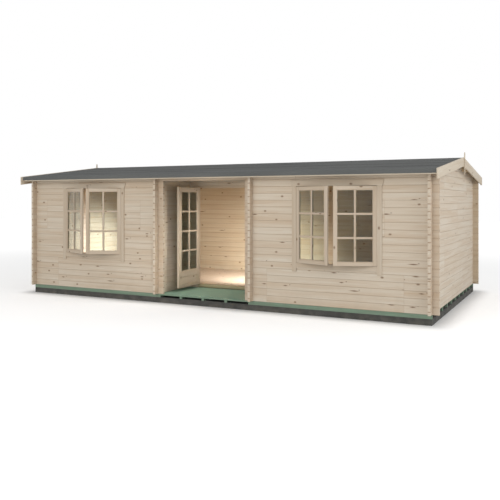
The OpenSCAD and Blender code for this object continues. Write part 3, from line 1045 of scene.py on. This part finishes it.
@dataclass
class Base:
    """Plinth, joists, deck boards and floor boards."""

    groups: Groups
    treated: PineTint = PineTint("7c927f", "647d69", "47574a", 0.3)
    # Painted light: the deck boards are tinted paler than the treated timber of the edge strip, to make up
    # for the shade in the porch.
    lit_deck_tint: PineTint = PineTint("98b9a7", "81a591", "586a5b", 0.3)
    floor_tint: PineTint = PineTint("d8cabc", "c5b198", "6a4a30", 0.3)
    treated_dust: Dust = Dust(0.3, 0.4, "6f6c62")
    deck_dust: Dust = Dust(0.2, 0.4, "6f6c62")
    plinth_dust: Dust = Dust(0.25, 0.12, "8b8478")
    deck_boards: int = 9
    deck_gap: float = 0.004
    deck_bevel: float = 0.003
    deck_seed: int = 11
    edge_t: float = 0.022
    edge_seed: int = 12
    floor_board: float = 0.121
    floor_gap: float = 0.0006
    floor_bevel: float = 0.0015
    floor_seed: int = 21
    screw_r: float = 0.0045
    screw_h: float = 0.0012
    screw_share: float = 0.27
    joist_w: float = 0.044
    deck_joists: int = 5

    def build(self) -> None:
        """Builds the boards and dresses the rest."""
        plinth = MineralFinish("plinth_concrete", "383837", "565653", grains=420.0, clouds=9.0, mottle=0.4,
                               roughness=0.9, depth=0.0012, dust=self.plinth_dust)
        dress(plinth.material(self.groups), "plinth_front", "plinth_back", "plinth_sides", "plinth_cross")
        timbers = (
            ("treated_along_x", Source.FRAME_X, ("left_joists", "right_joists", "long_joists")),
            ("treated_along_y", Source.FRAME_Y, ("porch_joists", "porch_beams")),
        )
        for name, source, nodes in timbers:
            finish = TimberFinish(name, self.treated, source, self.treated_dust)
            dress(finish.material(self.groups), *nodes)
        self._deck()
        self._floors()

    def _deck(self) -> None:
        """Lays the porch boards from side to side behind an edge strip, with screws over the joists."""
        low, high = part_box("porch_deck")
        middle_z, thick = (low.z + high.z) / 2, high.z - low.z
        front = low.y + self.edge_t
        y = low.y + self.edge_t / 2
        edge = Timbers(self.deck_bevel)
        edge.add((low.x, y, middle_z), (high.x, y, middle_z), Y_AXIS, self.edge_t, thick)
        finish = TimberFinish("deck_edge", self.treated)
        add_piece("porch_deck_edge", edge.shape(self.edge_seed), finish.material(self.groups), Slot.DECK,
                  "house")
        pitch = (high.y - front) / self.deck_boards
        rows = front + pitch * (np.arange(self.deck_boards) + 0.5) + self.deck_gap / 2
        boards = Timbers(self.deck_bevel)
        for y in rows.tolist():
            boards.add((low.x, y, middle_z), (high.x, y, middle_z), Y_AXIS, pitch - self.deck_gap, thick)
        # The boards take the paler deck tint, which is painted light against the porch's shade.
        finish = TimberFinish("porch_boards", self.lit_deck_tint, dust=self.deck_dust)
        add_piece("porch_deck_boards", boards.shape(self.deck_seed), finish.material(self.groups),
                  Slot.DECK, "house", "porch_deck")
        first, last = (c.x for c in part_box("porch_joists"))
        x = np.linspace(first + self.joist_w / 2, last - self.joist_w / 2, self.deck_joists)
        y = (rows[:, None] + pitch * self.screw_share * np.array([-1.0, 1.0])).ravel()
        grid = np.stack([*np.meshgrid(x, y)], axis=-1).reshape(-1, 2)
        places = np.column_stack([grid, np.full(len(grid), high.z - self.screw_h / 4)])
        add_piece("deck_screws", studs(places, self.screw_r, self.screw_h), SteelFinish().material(),
                  Slot.HINGES, "house")

    def _floors(self) -> None:
        """Lays floor boards from front to back, shortened where walls and the door frame stand."""
        finish = TimberFinish("floor_boards", self.floor_tint).material(self.groups)
        frame_low, frame_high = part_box("door_frame")
        wall_low, wall_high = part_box("porch_wall_right")
        for seed, node in enumerate(("left_floor", "right_floor", "main_floor"), self.floor_seed):
            low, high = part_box(node)
            count = round((high.x - low.x) / self.floor_board)
            edges = np.linspace(low.x, high.x, count + 1).tolist()
            middle_z = (low.z + high.z) / 2
            boards = Timbers(self.floor_bevel)
            for x0, x1 in zip(edges[:-1], edges[1:]):
                near, far = min(abs(x0), abs(x1)), max(abs(x0), abs(x1))
                start, end = low.y, high.y
                if node == "main_floor" and x0 < frame_high.x and x1 > frame_low.x:
                    start = frame_high.y + self.floor_gap
                if node == "main_floor" and near < wall_high.x and far > wall_low.x:
                    start = wall_high.y + self.floor_gap
                if node != "main_floor" and near < wall_high.x + LOG_END:
                    end = high.y - LOG_T - self.floor_gap
                x = (x0 + x1) / 2
                boards.add((x, start, middle_z), (x, end, middle_z), X_AXIS, x1 - x0 - self.floor_gap,
                           high.z - low.z)
            add_piece(node + "_boards", boards.shape(seed), finish, Slot.FLOOR, "house", node)


@dataclass
class GlazedLeaf:
    """Framed leaf with glazing bars, in its own frame.

    The leaf's frame has x across it from the hinge side, y from its outer face inwards and z up.

    Attributes:
        width: Width of the leaf.
        height: Its height.
        thickness: Its thickness.
        stile: Width of the stiles.
        top_rail: Height of the top rail.
        foot: Height of the lower edge of the glass opening.
        bottom_rail: Height of the bottom rail.
        columns: Lights side by side.
        rows: Lights above each other.
        upright_bar: Width of the upright bars without their beads.
        level_bar: Height of the level bars without their beads.
        glass: Outer and inner face of the pane, from the outer face of the leaf.
        panel: Height of a timber panel over the bottom rail, or 0 for none.
        panel_t: Thickness of the panel.
        field_t: Thickness of its raised field.
        field_in: Distance of the field from the panel's edges.
        bead: Width of the beads.
        bead_back: Distance of the beads from the faces of the leaf.
        bar_back: Distance of the bars from the faces of the leaf.
        bevels: Bevels of the frame, the bars and the beads.
    """

    width: float
    height: float
    thickness: float
    stile: float
    top_rail: float
    foot: float
    bottom_rail: float
    columns: int
    rows: int
    upright_bar: float
    level_bar: float
    glass: Span
    panel: float = 0.0
    panel_t: float = 0.014
    field_t: float = 0.026
    field_in: float = 0.016
    bead: float = 0.008
    bead_back: float = 0.006
    bar_back: float = 0.003
    bevels: Point = (0.0035, 0.0022, 0.0018)

    def shape(self, seed: int) -> Shape:
        """Builds the leaf.

        Args:
            seed: Start of the random draws of its grain.

        Returns:
            Its timbers as one shape.
        """
        members, bars, beads = (Timbers(bevel) for bevel in self.bevels)
        self._members(members)
        across = np.linspace(self.stile, self.width - self.stile, self.columns + 1)
        up = np.linspace(self.foot, self.height - self.top_rail, self.rows + 1)
        lights = self._lights(across, self.upright_bar)
        self._bars(bars, across, up, lights)
        for x in lights:
            for z in self._lights(up, self.level_bar):
                for y in self._faces(self.bead_back):
                    self._ring(beads, x, y, z)
        return Shape.join([members.shape(seed), bars.shape(seed + 1), beads.shape(seed + 2)])

    def _faces(self, back: float) -> tuple[Span, Span]:
        """Room in front of the pane and behind it, set back from the faces of the leaf."""
        return (back, self.glass[0]), (self.glass[1], self.thickness - back)

    @staticmethod
    def _lights(stops: np.ndarray, bar: float) -> list[Span]:
        """Stretches between the first and the last stop that bars on the other stops leave open."""
        inner = stops[1:-1]
        return list(zip([stops[0], *(inner + bar / 2)], [*(inner - bar / 2), stops[-1]]))

    def _members(self, members: Timbers) -> None:
        """Adds the stiles, the rails and the panel.

        Args:
            members: Timbers that they are added to.
        """
        y = self.thickness / 2
        left, right = self.stile, self.width - self.stile
        for x in (left / 2, self.width - left / 2):
            members.add((x, y, 0.0), (x, y, self.height), X_AXIS, self.stile, self.thickness)
        rails = [(0.0, self.bottom_rail), (self.height - self.top_rail, self.height)]
        if self.panel:
            rails.append((self.bottom_rail + self.panel, self.foot))
            z = self.bottom_rail + self.panel / 2
            for inset, thick in ((0.0, self.panel_t), (self.field_in, self.field_t)):
                start, end = (left + inset, y, z), (right - inset, y, z)
                members.add(start, end, Z_AXIS, self.panel - 2 * inset, thick)
        for low, high in rails:
            z = (low + high) / 2
            members.add((left, y, z), (right, y, z), Z_AXIS, high - low, self.thickness)

    def _bars(self, bars: Timbers, across: np.ndarray, up: np.ndarray, lights: list[Span]) -> None:
        """Adds the glazing bars on both sides of the pane.

        Args:
            bars: Timbers that they are added to.
            across: Edges of the glass opening across the leaf, and the places of its upright bars.
            up: The same from its lower to its upper edge, for its level bars.
            lights: Stretches that the level bars fill.
        """
        for y0, y1 in self._faces(self.bar_back):
            y, t = (y0 + y1) / 2, y1 - y0
            for x in across[1:-1]:
                bars.add((x, y, up[0]), (x, y, up[-1]), X_AXIS, self.upright_bar, t)
            for z in up[1:-1]:
                for x0, x1 in lights:
                    bars.add((x0, y, z), (x1, y, z), Z_AXIS, self.level_bar, t)

    def _ring(self, beads: Timbers, x: Span, y: Span, z: Span) -> None:
        """Adds four mitred beads around a rectangle.

        Args:
            beads: Timbers that they are added to.
            x: Left and right edge of the rectangle.
            y: Outer and inner face of the beads.
            z: Lower and upper edge of the rectangle.
        """
        half, middle = self.bead / 2, (y[0] + y[1]) / 2
        left, right, low, high = x[0] + half, x[1] - half, z[0] + half, z[1] - half
        corners = ((left, low), (right, low), (right, high), (left, high))
        inwards = ((0.0, 0.0, 1.0), (-1.0, 0.0, 0.0), (0.0, 0.0, -1.0), (1.0, 0.0, 0.0))
        for i, inward in enumerate(inwards):
            (xa, za), (xb, zb) = corners[i], corners[(i + 1) % 4]
            beads.add((xa, middle, za), (xb, middle, zb), inward, self.bead, y[1] - y[0], (1.0, -1.0))


@dataclass
class Window:
    """One window: frame, trim boards, a pair of sashes that stand ajar, and their glass."""

    side: Side
    frame_t: float = 0.030
    frame_bevel: float = 0.003
    trim_w: float = 0.075
    trim_bevel: float = 0.0025
    trim_drop: float = 0.056
    apron_h: float = 0.086
    header_h: float = 0.096
    header_reach: float = 0.008
    header_slant: float = 0.026
    sash_open: float = 22.0
    sash_w: float = 0.6731
    sash_t: float = 0.040
    sash_member: float = 0.060
    sash_bar: float = 0.018
    glass: Span = (0.0156, 0.0196)
    seed: int = 40
    side_seeds: int = 10

    def build(self, joinery: Material, trim: Material, glass: Material) -> None:
        """Builds the window's timbers and dresses its glass.

        Args:
            joinery: Finish of the frame and the sashes.
            trim: Finish of the boards around it.
            glass: Finish of the panes.
        """
        name, seed = f"{self.side.word}_window", self.seed + self.side_seeds * self.side.value
        add_piece(name + "_casing", self._frame(name).shape(seed), joinery, Slot.JOINERY, "house",
                  name + "_frame")
        add_piece(name + "_boards", self._trim(name).shape(seed + 1), trim, Slot.TRIM, "house",
                  name + "_trim")
        add_piece(name + "_casements", self._sashes(name, seed + 2), joinery, Slot.JOINERY, "house",
                  name + "_sashes")
        dress(glass, name + "_glass")

    def _frame(self, name: str) -> Timbers:
        """Jambs, head and sill of the frame in the wall.

        Args:
            name: Name of the window.

        Returns:
            The timbers.
        """
        low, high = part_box(name + "_frame")
        y, depth, t = (low.y + high.y) / 2, high.y - low.y, self.frame_t
        timbers = Timbers(self.frame_bevel)
        for x in (low.x + t / 2, high.x - t / 2):
            timbers.add((x, y, low.z), (x, y, high.z), X_AXIS, t, depth)
        for z in (low.z + t / 2, high.z - t / 2):
            timbers.add((low.x + t, y, z), (high.x - t, y, z), Z_AXIS, t, depth)
        return timbers

    def _trim(self, name: str) -> Timbers:
        """Boards around the window: two uprights, the apron and the head with slanted ends.

        Args:
            name: Name of the window.

        Returns:
            The boards.
        """
        low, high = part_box(name + "_trim")
        y, thick = (low.y + high.y) / 2, high.y - low.y
        outer = (high.x - low.x) / 2 - self.header_slant - self.header_reach
        middle, head_z = (low.x + high.x) / 2, high.z - self.header_h
        timbers = Timbers(self.trim_bevel)
        for sign in (-1, 1):
            x = middle + sign * (outer - self.trim_w / 2)
            timbers.add((x, y, low.z), (x, y, head_z), X_AXIS, self.trim_w, thick)
        reach = outer - self.trim_w
        z = low.z + self.trim_drop + self.apron_h / 2
        timbers.add((middle - reach, y, z), (middle + reach, y, z), Z_AXIS, self.apron_h, thick)
        reach = outer + self.header_reach + self.header_slant / 2
        slant = self.header_slant / self.header_h
        z = head_z + self.header_h / 2
        timbers.add((middle - reach, y, z), (middle + reach, y, z), Z_AXIS, self.header_h, thick,
                    (-slant, slant))
        return timbers

    def _sashes(self, name: str, seed: int) -> Shape:
        """Pair of sashes, the second one a mirror image of the first.

        Args:
            name: Name of the window.
            seed: Start of the random draws of the grain.

        Returns:
            Both sashes as one shape.
        """
        low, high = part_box(name + "_sashes")
        front = high.y - self.sash_t * math.cos(math.radians(self.sash_open))
        member, bar = self.sash_member, self.sash_bar
        leaf = GlazedLeaf(self.sash_w, high.z - low.z, self.sash_t, stile=member, top_rail=member,
                          foot=member, bottom_rail=member, columns=2, rows=3, upright_bar=bar,
                          level_bar=bar, glass=self.glass)
        left, right = (leaf.shape(seed + first).placed((low.x, front, low.z), -self.sash_open)
                       for first in (0, 3))
        return Shape.join([left, right.mirrored((low.x + high.x) / 2)])


@dataclass
class Doorway:
    """Door frame with its threshold, and two glazed leaves that stand open."""

    jamb_t: float = 0.034
    jamb_bevel: float = 0.003
    threshold_h: float = 0.068
    threshold_bevel: float = 0.004
    rebate_h: float = 0.016
    rebate_d: float = 0.030
    stop_w: float = 0.012
    stop_d: float = 0.020
    leaf_t: float = 0.042
    leaf_w: float = 0.747
    leaf_gap: float = 0.006
    hinge_off: float = 0.0074
    rest_turn: float = -90.0
    frame_seed: int = 60
    threshold_seed: int = 61
    leaf_seeds: tuple[int, int] = (70, 80)

    def build(self, joinery: Material, shaded_oak: Material, glass: Material) -> None:
        """Builds the door's timbers and dresses its glass and hinges.

        Args:
            joinery: Finish of the frame and the leaves.
            shaded_oak: Finish of the threshold, a hardwood tint kept darker than the joinery as painted
                shade at
            the foot of the doorway.
            glass: Finish of the panes.
        """
        add_piece("door_casing", self._frame().shape(self.frame_seed), joinery, Slot.JOINERY, "house",
                  "door_frame")
        add_piece("door_threshold", self._threshold().shape(self.threshold_seed), shaded_oak, Slot.JOINERY,
                  "house")
        low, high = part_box("left_door")
        hinge = next(j for j in frame["joints"] if j["child"] == "left_leaf")["pos_m"]
        leaf = GlazedLeaf(self.leaf_w, high.z - low.z, self.leaf_t, stile=0.098, top_rail=0.086, foot=0.306,
                          bottom_rail=0.062, columns=2, rows=4, upright_bar=0.024, level_bar=0.014,
                          glass=(0.0166, 0.0206), panel=0.140)
        for side, seed in zip(Side, self.leaf_seeds):
            shape = leaf.shape(seed)
            shape.points += np.array([self.leaf_gap / 2, self.hinge_off, low.z])
            shape = shape.placed((hinge[0], hinge[1], 0.0), self.rest_turn)
            if side is Side.RIGHT:
                shape = shape.mirrored(0.0)
            add_piece(f"{side.word}_door_joinery", shape, joinery, Slot.JOINERY, f"{side.word}_leaf",
                      f"{side.word}_door")
            dress(glass, f"{side.word}_door_glass")
        dress(SteelFinish("hinge_steel").material(), "door_frame_hinges", "left_door_hinges",
              "right_door_hinges")

    def _frame(self) -> Timbers:
        """Jambs, head and the stops behind the leaves.

        Returns:
            The timbers.
        """
        low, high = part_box("door_frame")
        y, depth, t = (low.y + high.y) / 2, high.y - low.y, self.jamb_t
        inner, head = high.x - t, high.z - t
        stop_y = low.y + self.leaf_t + self.leaf_gap + self.stop_d / 2
        sill = low.z + self.threshold_h
        timbers = Timbers(self.jamb_bevel)
        for sign in (-1, 1):
            x = sign * (inner + t / 2)
            timbers.add((x, y, low.z), (x, y, high.z), X_AXIS, t, depth)
            x = sign * (inner - self.stop_w / 2)
            timbers.add((x, stop_y, sill), (x, stop_y, head), X_AXIS, self.stop_w, self.stop_d)
        timbers.add((-inner, y, head + t / 2), (inner, y, head + t / 2), Z_AXIS, t, depth)
        z = head - self.stop_w / 2
        reach = inner - self.stop_w
        timbers.add((-reach, stop_y, z), (reach, stop_y, z), Z_AXIS, self.stop_w, self.stop_d)
        return timbers

    def _threshold(self) -> Timbers:
        """Threshold between the jambs, set back along the foot of its front.

        Returns:
            Its two layers.
        """
        low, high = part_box("door_frame")
        inner = high.x - self.jamb_t
        top, lip = low.z + self.threshold_h, low.z + self.rebate_h
        timbers = Timbers(self.threshold_bevel)
        for z0, z1, front in ((lip, top, low.y), (low.z, lip, low.y + self.rebate_d)):
            y, z = (front + high.y) / 2, (z0 + z1) / 2
            timbers.add((-inner, y, z), (inner, y, z), Z_AXIS, z1 - z0, high.y - front)
        return timbers


@dataclass
class Roof:
    """Roof boards, felt, purlins, eave boards, bargeboards and finials."""

    groups: Groups
    trim: Material
    tint: PineTint = PineTint("d6c4a6", "bd9f76", "5c3f29", 0.3)
    pitch: float = 7.05
    board_w: float = 0.096
    board_t: float = 0.028
    board_gap: float = 0.0006
    board_bevel: float = 0.0035
    felt_t: float = 0.0036
    felt_rows: int = 4
    felt_stations: int = 97
    felt_lines: int = 12
    cap_lines: int = 5
    lap: float = 0.07
    lap_start: float = 1.6
    lap_rise: float = 0.5
    wave: float = 0.25
    wave_rates: Span = (2.1, 0.83)
    wave_shift: float = 1.7
    lip: float = 0.061
    lip_y: float = 0.0078
    ridge_cap: float = 0.16
    ridge_gap: float = 0.002
    clear: float = 0.0004
    eave_board_h: float = 0.051
    eave_board_w: float = 0.045
    eave_bevel: float = 0.0025
    barge_h: float = 0.157
    barge_t: float = 0.024
    barge_bevel: float = 0.003
    finial_tip: Span = (0.034, 0.003)
    finial_bevel: float = 0.0015
    seed: int = 90

    def __post_init__(self) -> None:
        """Works out the slope and the ridge from the frame."""
        self.cos = math.cos(math.radians(self.pitch))
        self.sin = math.sin(math.radians(self.pitch))
        low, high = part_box("roof_boards")
        self.x0, self.x1, self.eave_y, self.board_top = low.x, high.x, high.y, high.z
        self.slope_l = self.eave_y / self.cos

    def build(self) -> None:
        """Builds every layer of the roof."""
        timber = TimberFinish("roof_timber", self.tint)
        add_piece("roof_board_rows", self._boards().shape(self.seed), timber.material(self.groups),
                  Slot.ROOF_TIMBER, "house", "roof_boards")
        beams = TimberFinish("purlin_timber", self.tint, Source.FRAME_X)
        dress(beams.material(self.groups), "purlins")
        felt = MineralFinish("mineral_felt", "4a4c4c", "707271", grains=700.0, clouds=2.2, mottle=0.3,
                             roughness=0.95, depth=0.0015, spread=(0.15, 1.0, 1.0))
        add_piece("felt_strips", self._felt(), felt.material(self.groups), Slot.FELT, "house", "roof_felt")
        edges = (
            ("eave_battens", self._eave_boards(), "eave_boards"),
            ("gable_bargeboards", self._bargeboards(), "bargeboards"),
            ("gable_finials", self._finials(), "finials"),
        )
        for seed, (name, timbers, node) in enumerate(edges, self.seed + 1):
            add_piece(name, timbers.shape(seed), self.trim, Slot.TRIM, "house", node)

    def _down(self, sign: int) -> Point:
        """Direction down the slope at the front (-1) or the back (1)."""
        return (0.0, sign * self.cos, -self.sin)

    def _boards(self) -> Timbers:
        """Boards from the ridge to the eaves, side by side along the house.

        Returns:
            The boards.
        """
        count = round((self.x1 - self.x0) / self.board_w)
        wide = (self.x1 - self.x0) / count
        x = self.x0 + wide * (np.arange(count) + 0.5)
        timbers = Timbers(self.board_bevel)
        half = self.board_t / 2
        for sign in (-1, 1):
            down = np.array(self._down(sign))
            top = np.array([0.0, 0.0, self.board_top]) - half * np.array([0.0, sign * -self.sin, self.cos])
            for place in x.tolist():
                start = top + np.array([place, 0.0, 0.0]) + down * (half * self.sin)
                end = start + down * (self.slope_l - self.board_t * self.sin)
                timbers.add(tuple(start), tuple(end), X_AXIS, wide - self.board_gap, self.board_t)
        return timbers

    def _felt(self) -> Shape:
        """Strips of felt that lap over each other down the slope, and a strip over the ridge.

        A strip's line follows the slope at the height of the boards. Towards its lower edge it rises
        by one thickness over the strip below, a little unevenly along the house. The lowest strip is
        turned down over the eave.

        Returns:
            All strips as one shape.
        """
        stations = np.linspace(self.x0, self.x1, self.felt_stations)
        shapes = []
        pitch = self.slope_l / self.felt_rows
        fast, slow = self.wave_rates
        for sign in (-1, 1):
            for row in range(self.felt_rows):
                lower = (row + 1) * pitch
                last = row == self.felt_rows - 1
                s = np.linspace(max(row * pitch - self.lap, self.ridge_gap), lower, self.felt_lines)
                rise = (s - lower + self.lap_start * self.lap) / (self.lap_rise * self.lap)
                lift = (0.0 if last else self.felt_t) * np.clip(rise, 0.0, 1.0)
                ripple = np.sin(stations * fast + row * self.wave_shift) * np.sin(stations * slow + row)
                over = lift * (1.0 + self.wave * ripple[:, None])
                shapes.append(self._strip(stations, s, over, sign, last))
        s = np.linspace(self.ridge_gap, self.ridge_cap, self.cap_lines)
        over = np.full((len(stations), len(s)), self.felt_t)
        shapes.extend(self._strip(stations, s, over, sign, False) for sign in (-1, 1))
        return Shape.join(shapes)

    def _strip(self, stations: np.ndarray, s: np.ndarray, over: np.ndarray, sign: int,
               turned: bool) -> Shape:
        """One strip of felt.

        Args:
            stations: Places along X.
            s: Distances down the slope from the ridge.
            over: Height of its underside above the boards at each station and distance.
            sign: -1 at the front, 1 at the back.
            turned: Whether its lower edge is turned down over the eave.

        Returns:
            The strip.
        """
        def line(height: np.ndarray) -> np.ndarray:
            """Y and Z of the slope at a height above the boards.

            Args:
                height: Height at each station and distance.

            Returns:
                The line at each station, stations by n by 2.
            """
            y = s * self.cos + height * self.sin
            z = self.board_top + self.clear - s * self.sin + height * self.cos
            return np.stack([y, z], axis=-1)

        under, top = line(over), line(over + self.felt_t)
        if turned:
            drop = under[:, -1:, 1] - np.array([0.0, 0.5, 1.0]) * self.lip
            inner = np.stack([np.full_like(drop, self.eave_y + self.clear), drop], axis=-1)
            outer = inner + np.array([self.lip_y, 0.0])
            outer[:, 0] += np.array([-self.lip_y / 3, self.felt_t])
            under, top = np.concatenate([under, inner], axis=1), np.concatenate([top, outer], axis=1)
        if sign < 0:
            front = np.array([-1.0, 1.0])
            return sheet_along_x(top * front, under * front, stations)
        return sheet_along_x(top[:, ::-1], under[:, ::-1], stations)

    def _eave_boards(self) -> Timbers:
        """Boards under the roof boards along both eaves.

        Returns:
            The boards.
        """
        low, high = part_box("eave_boards")
        timbers = Timbers(self.eave_bevel)
        y = high.y - self.eave_board_w / 2
        z = low.z + self.eave_board_h / 2 + self.eave_board_w / 2 * self.sin / self.cos
        for sign in (-1, 1):
            timbers.add((low.x, sign * y, z), (high.x, sign * y, z), self._down(sign),
                        self.eave_board_w / self.cos, self.eave_board_h * self.cos)
        return timbers

    def _bargeboards(self) -> Timbers:
        """Boards along the edges of the roof on both gables, with upright ends.

        Returns:
            The boards.
        """
        low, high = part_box("bargeboards")
        tan = self.sin / self.cos
        middle = high.z - self.barge_h / 2
        timbers = Timbers(self.barge_bevel)
        for x in (low.x + self.barge_t / 2, high.x - self.barge_t / 2):
            for sign in (-1, 1):
                across = (0.0, sign * self.sin, self.cos)
                end = (x, sign * high.y, middle - high.y * tan)
                timbers.add((x, 0.0, middle), end, across, self.barge_h * self.cos, self.barge_t,
                            (-tan, -tan))
        return timbers

    def _finials(self) -> Timbers:
        """Upright laths with pointed ends on both gables.

        Returns:
            The laths.
        """
        low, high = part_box("finials")
        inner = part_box("bargeboards")[1].x + self.clear
        timbers = Timbers(self.finial_bevel, tip=self.finial_tip)
        for sign in (-1, 1):
            x = sign * (inner + high.x) / 2
            timbers.add((x, 0.0, low.z), (x, 0.0, high.z), Y_AXIS, high.y - low.y, high.x - inner)
        return timbers


@dataclass(frozen=True)
class Lamp:
    """Square lamp that isn't seen itself.

    Attributes:
        name: Name of the lamp.
        place: Its middle.
        target: Point that it faces.
        size: Length of its sides.
        power: Power in watts.
        tint: Screen colour of its light.
        spread: Angle in degrees that its light spreads over.
    """

    name: str
    place: Point
    target: Point
    size: float
    power: float
    tint: str
    spread: float = 180.0

    def hang(self) -> None:
        """Adds the lamp to the scene."""
        data = bpy.data.lights.new(self.name, "AREA")
        data.size = self.size
        data.energy = self.power
        data.color = colour(self.tint)[:3]
        data.spread = math.radians(self.spread)
        lamp = bpy.data.objects.new(self.name, data)
        lamp.location = self.place
        aim = Vector(self.target) - Vector(self.place)
        lamp.rotation_euler = aim.to_track_quat("-Z", "Y").to_euler()
        lamp.visible_camera = False
        lamp.visible_transmission = False
        lamp.visible_glossy = False
        bpy.context.scene.collection.objects.link(lamp)


@dataclass
class Studio:
    """Pale floor, white background, soft lamps and the camera.

    Attributes:
        camera_place: Place of the camera.
        camera_turn: Its turn in degrees to the left of straight at the front.
        focal_px: Its focal length in pixels.
        frame_px: Width of the picture in pixels.
        horizon_px: Height of the horizon below the picture's upper edge.
        sensor: Width of the sensor in millimetres.
        clip_end: Distance that the camera sees.
        floor_size: Length of the floor's sides.
        floor_z: Level of the floor.
        floor_grey: Brightness of its paint.
        floor_rough: Roughness of its paint.
        glows: Distances from the house at which each glow of the floor begins and is full, and its power.
        sky: Brightness of the light from all sides.
        lamps: Lamps for the front, the gable, the porch and the rooms.
    """

    camera_place: Point = (5.940, -11.903, 1.870)
    camera_turn: float = 26.96
    focal_px: float = 650.65
    frame_px: float = 500.0
    horizon_px: float = 200.05
    sensor: float = 36.0
    clip_end: float = 200.0
    floor_size: float = 90.0
    floor_z: float = -0.002
    floor_grey: float = 0.8
    floor_rough: float = 0.9
    glows: tuple[Point, Point] = ((0.0, 0.4, 0.36), (3.0, 16.0, 0.24))
    sky: float = 0.62
    lamps: tuple[Lamp, ...] = (
        Lamp("key_lamp", (-0.4, -14.0, 4.7), (-1.2, -1.5, 1.2), 8.0, 550.0, "fffbf5"),
        Lamp("gable_lamp", (14.0, -4.0, 5.5), (4.0, -0.5, 1.2), 6.0, 580.0, "ffffff"),
        Lamp("porch_lamp", (2.4, -5.2, 0.4), (-0.94, -1.66, 0.75), 0.4, 1.0, "fff8f0", 22.0),
        Lamp("head_lamp", (0.9, -7.5, 2.2), (0.05, -1.0, 1.88), 0.5, 0.35, "fff4e6", 10.0),
        Lamp("leaf_lamp", (0.5, -1.5, 1.95), (-0.75, -1.3, 0.9), 0.3, 6.0, "fff8ee", 105.0),
        Lamp("room_lamp", (0.2, -0.3, 1.3), (-0.85, 1.75, -0.15), 0.8, 37.0, "fff8ee", 105.0),
        Lamp("door_lamp", (0.7, -0.5, 1.3), (0.4, -0.3, 0.0), 0.5, 0.8, "ffffff", 110.0),
        Lamp("left_room_lamp", (-2.8, -0.1, 0.95), (-3.9, -0.4, 0.1), 1.0, 36.0, "ffffff", 160.0),
    )

    def build(self) -> None:
        """Builds the stage."""
        self._floor()
        self._world()
        for lamp in self.lamps:
            lamp.hang()
        self._camera()

    def _floor(self) -> None:
        """Lays the floor, a grid of two by two points, which shows white away from the shadow."""
        half = self.floor_size / 2
        x, y = np.meshgrid(np.array([-half, half]), np.array([-half, half]))
        points = np.column_stack([x.ravel(), y.ravel(), np.full(4, self.floor_z)])
        mesh = bpy.data.meshes.new("studio_floor")
        mesh.from_pydata(points.tolist(), [], [[0, 1, 3, 2]])
        n = Paint("floor_paint")
        seen = n.add("LightPath").outputs["Is Camera Ray"]
        away = self._distance(n)
        near, far = (n.math("MULTIPLY", n.step(away, low, high), power) for low, high, power in self.glows)
        grey = self.floor_grey
        n.set(Base_Color=(grey, grey, grey, 1.0), Roughness=self.floor_rough, Specular_IOR_Level=0.0,
              Emission_Color=WHITE, Emission_Strength=n.math("MULTIPLY", seen, n.math("ADD", near, far)))
        mesh.materials.append(n.material)
        floor = bpy.data.objects.new("studio_floor", mesh)
        bpy.context.scene.collection.objects.link(floor)

    def _distance(self, n: Paint) -> Socket:
        """Distance of a point of the floor from the foot of the house.

        Args:
            n: Nodes of the floor's material.

        Returns:
            The distance in metres, 0 under the house.
        """
        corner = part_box("plinth_front")[0]
        x, y, _ = n.split(n.spot["Object"])
        past_x, past_y = (n.math("MAXIMUM", n.math("ADD", n.math("ABSOLUTE", place), edge), 0.0)
                          for place, edge in ((x, corner.x), (y, corner.y)))
        return n.math("SQRT", n.math("ADD", n.square(past_x), n.square(past_y)))

    def _world(self) -> None:
        """Lights the object evenly, and shows white to the camera."""
        world = bpy.data.worlds.new("studio")
        bpy.context.scene.world = world
        world.use_nodes = True
        n = Nodes(world.node_tree)
        light = n.feed(n.tree.nodes["Background"], {"Color": WHITE, "Strength": self.sky})
        white = n.feed(n.add("Background"), {"Color": WHITE, "Strength": 1.0})
        n.end("World Output", n.add("LightPath").outputs["Is Camera Ray"], light, white)

    def _camera(self) -> None:
        """Sets the level camera at the place and angle of the photograph."""
        data = bpy.data.cameras.new("camera")
        data.sensor_fit = "HORIZONTAL"
        data.sensor_width = self.sensor
        data.lens = self.focal_px * self.sensor / self.frame_px
        data.shift_y = (self.horizon_px - self.frame_px / 2) / self.frame_px
        data.clip_end = self.clip_end
        camera = bpy.data.objects.new("camera", data)
        camera.location = self.camera_place
        camera.rotation_euler = (math.pi / 2, 0.0, math.radians(self.camera_turn))
        bpy.context.scene.collection.objects.link(camera)
        bpy.context.scene.camera = camera
        bpy.context.scene.view_settings.view_transform = "Standard"


def main() -> None:
    """Builds the stage and every part of the cabin in order."""
    logging.basicConfig(level=logging.INFO, format="%(name)s: %(message)s")
    groups = Groups.build()
    Studio().build()
    Walls(groups).dress()
    Base(groups).build()
    joinery = TimberFinish("joinery_pine", JOINERY_TINT).material(groups)
    trim = TimberFinish("trim_pine", TRIM_TINT).material(groups)
    edging = TimberFinish("edging_pine", LIT_EDGING_TINT).material(groups)
    shaded_oak = TimberFinish("threshold_oak", SHADED_OAK_TINT).material(groups)
    glass = GlassFinish().material()
    for side in Side:
        Window(side).build(joinery, trim, glass)
    Doorway().build(joinery, shaded_oak, glass)
    Roof(groups, edging).build()


if __name__ == "__main__":
    main()
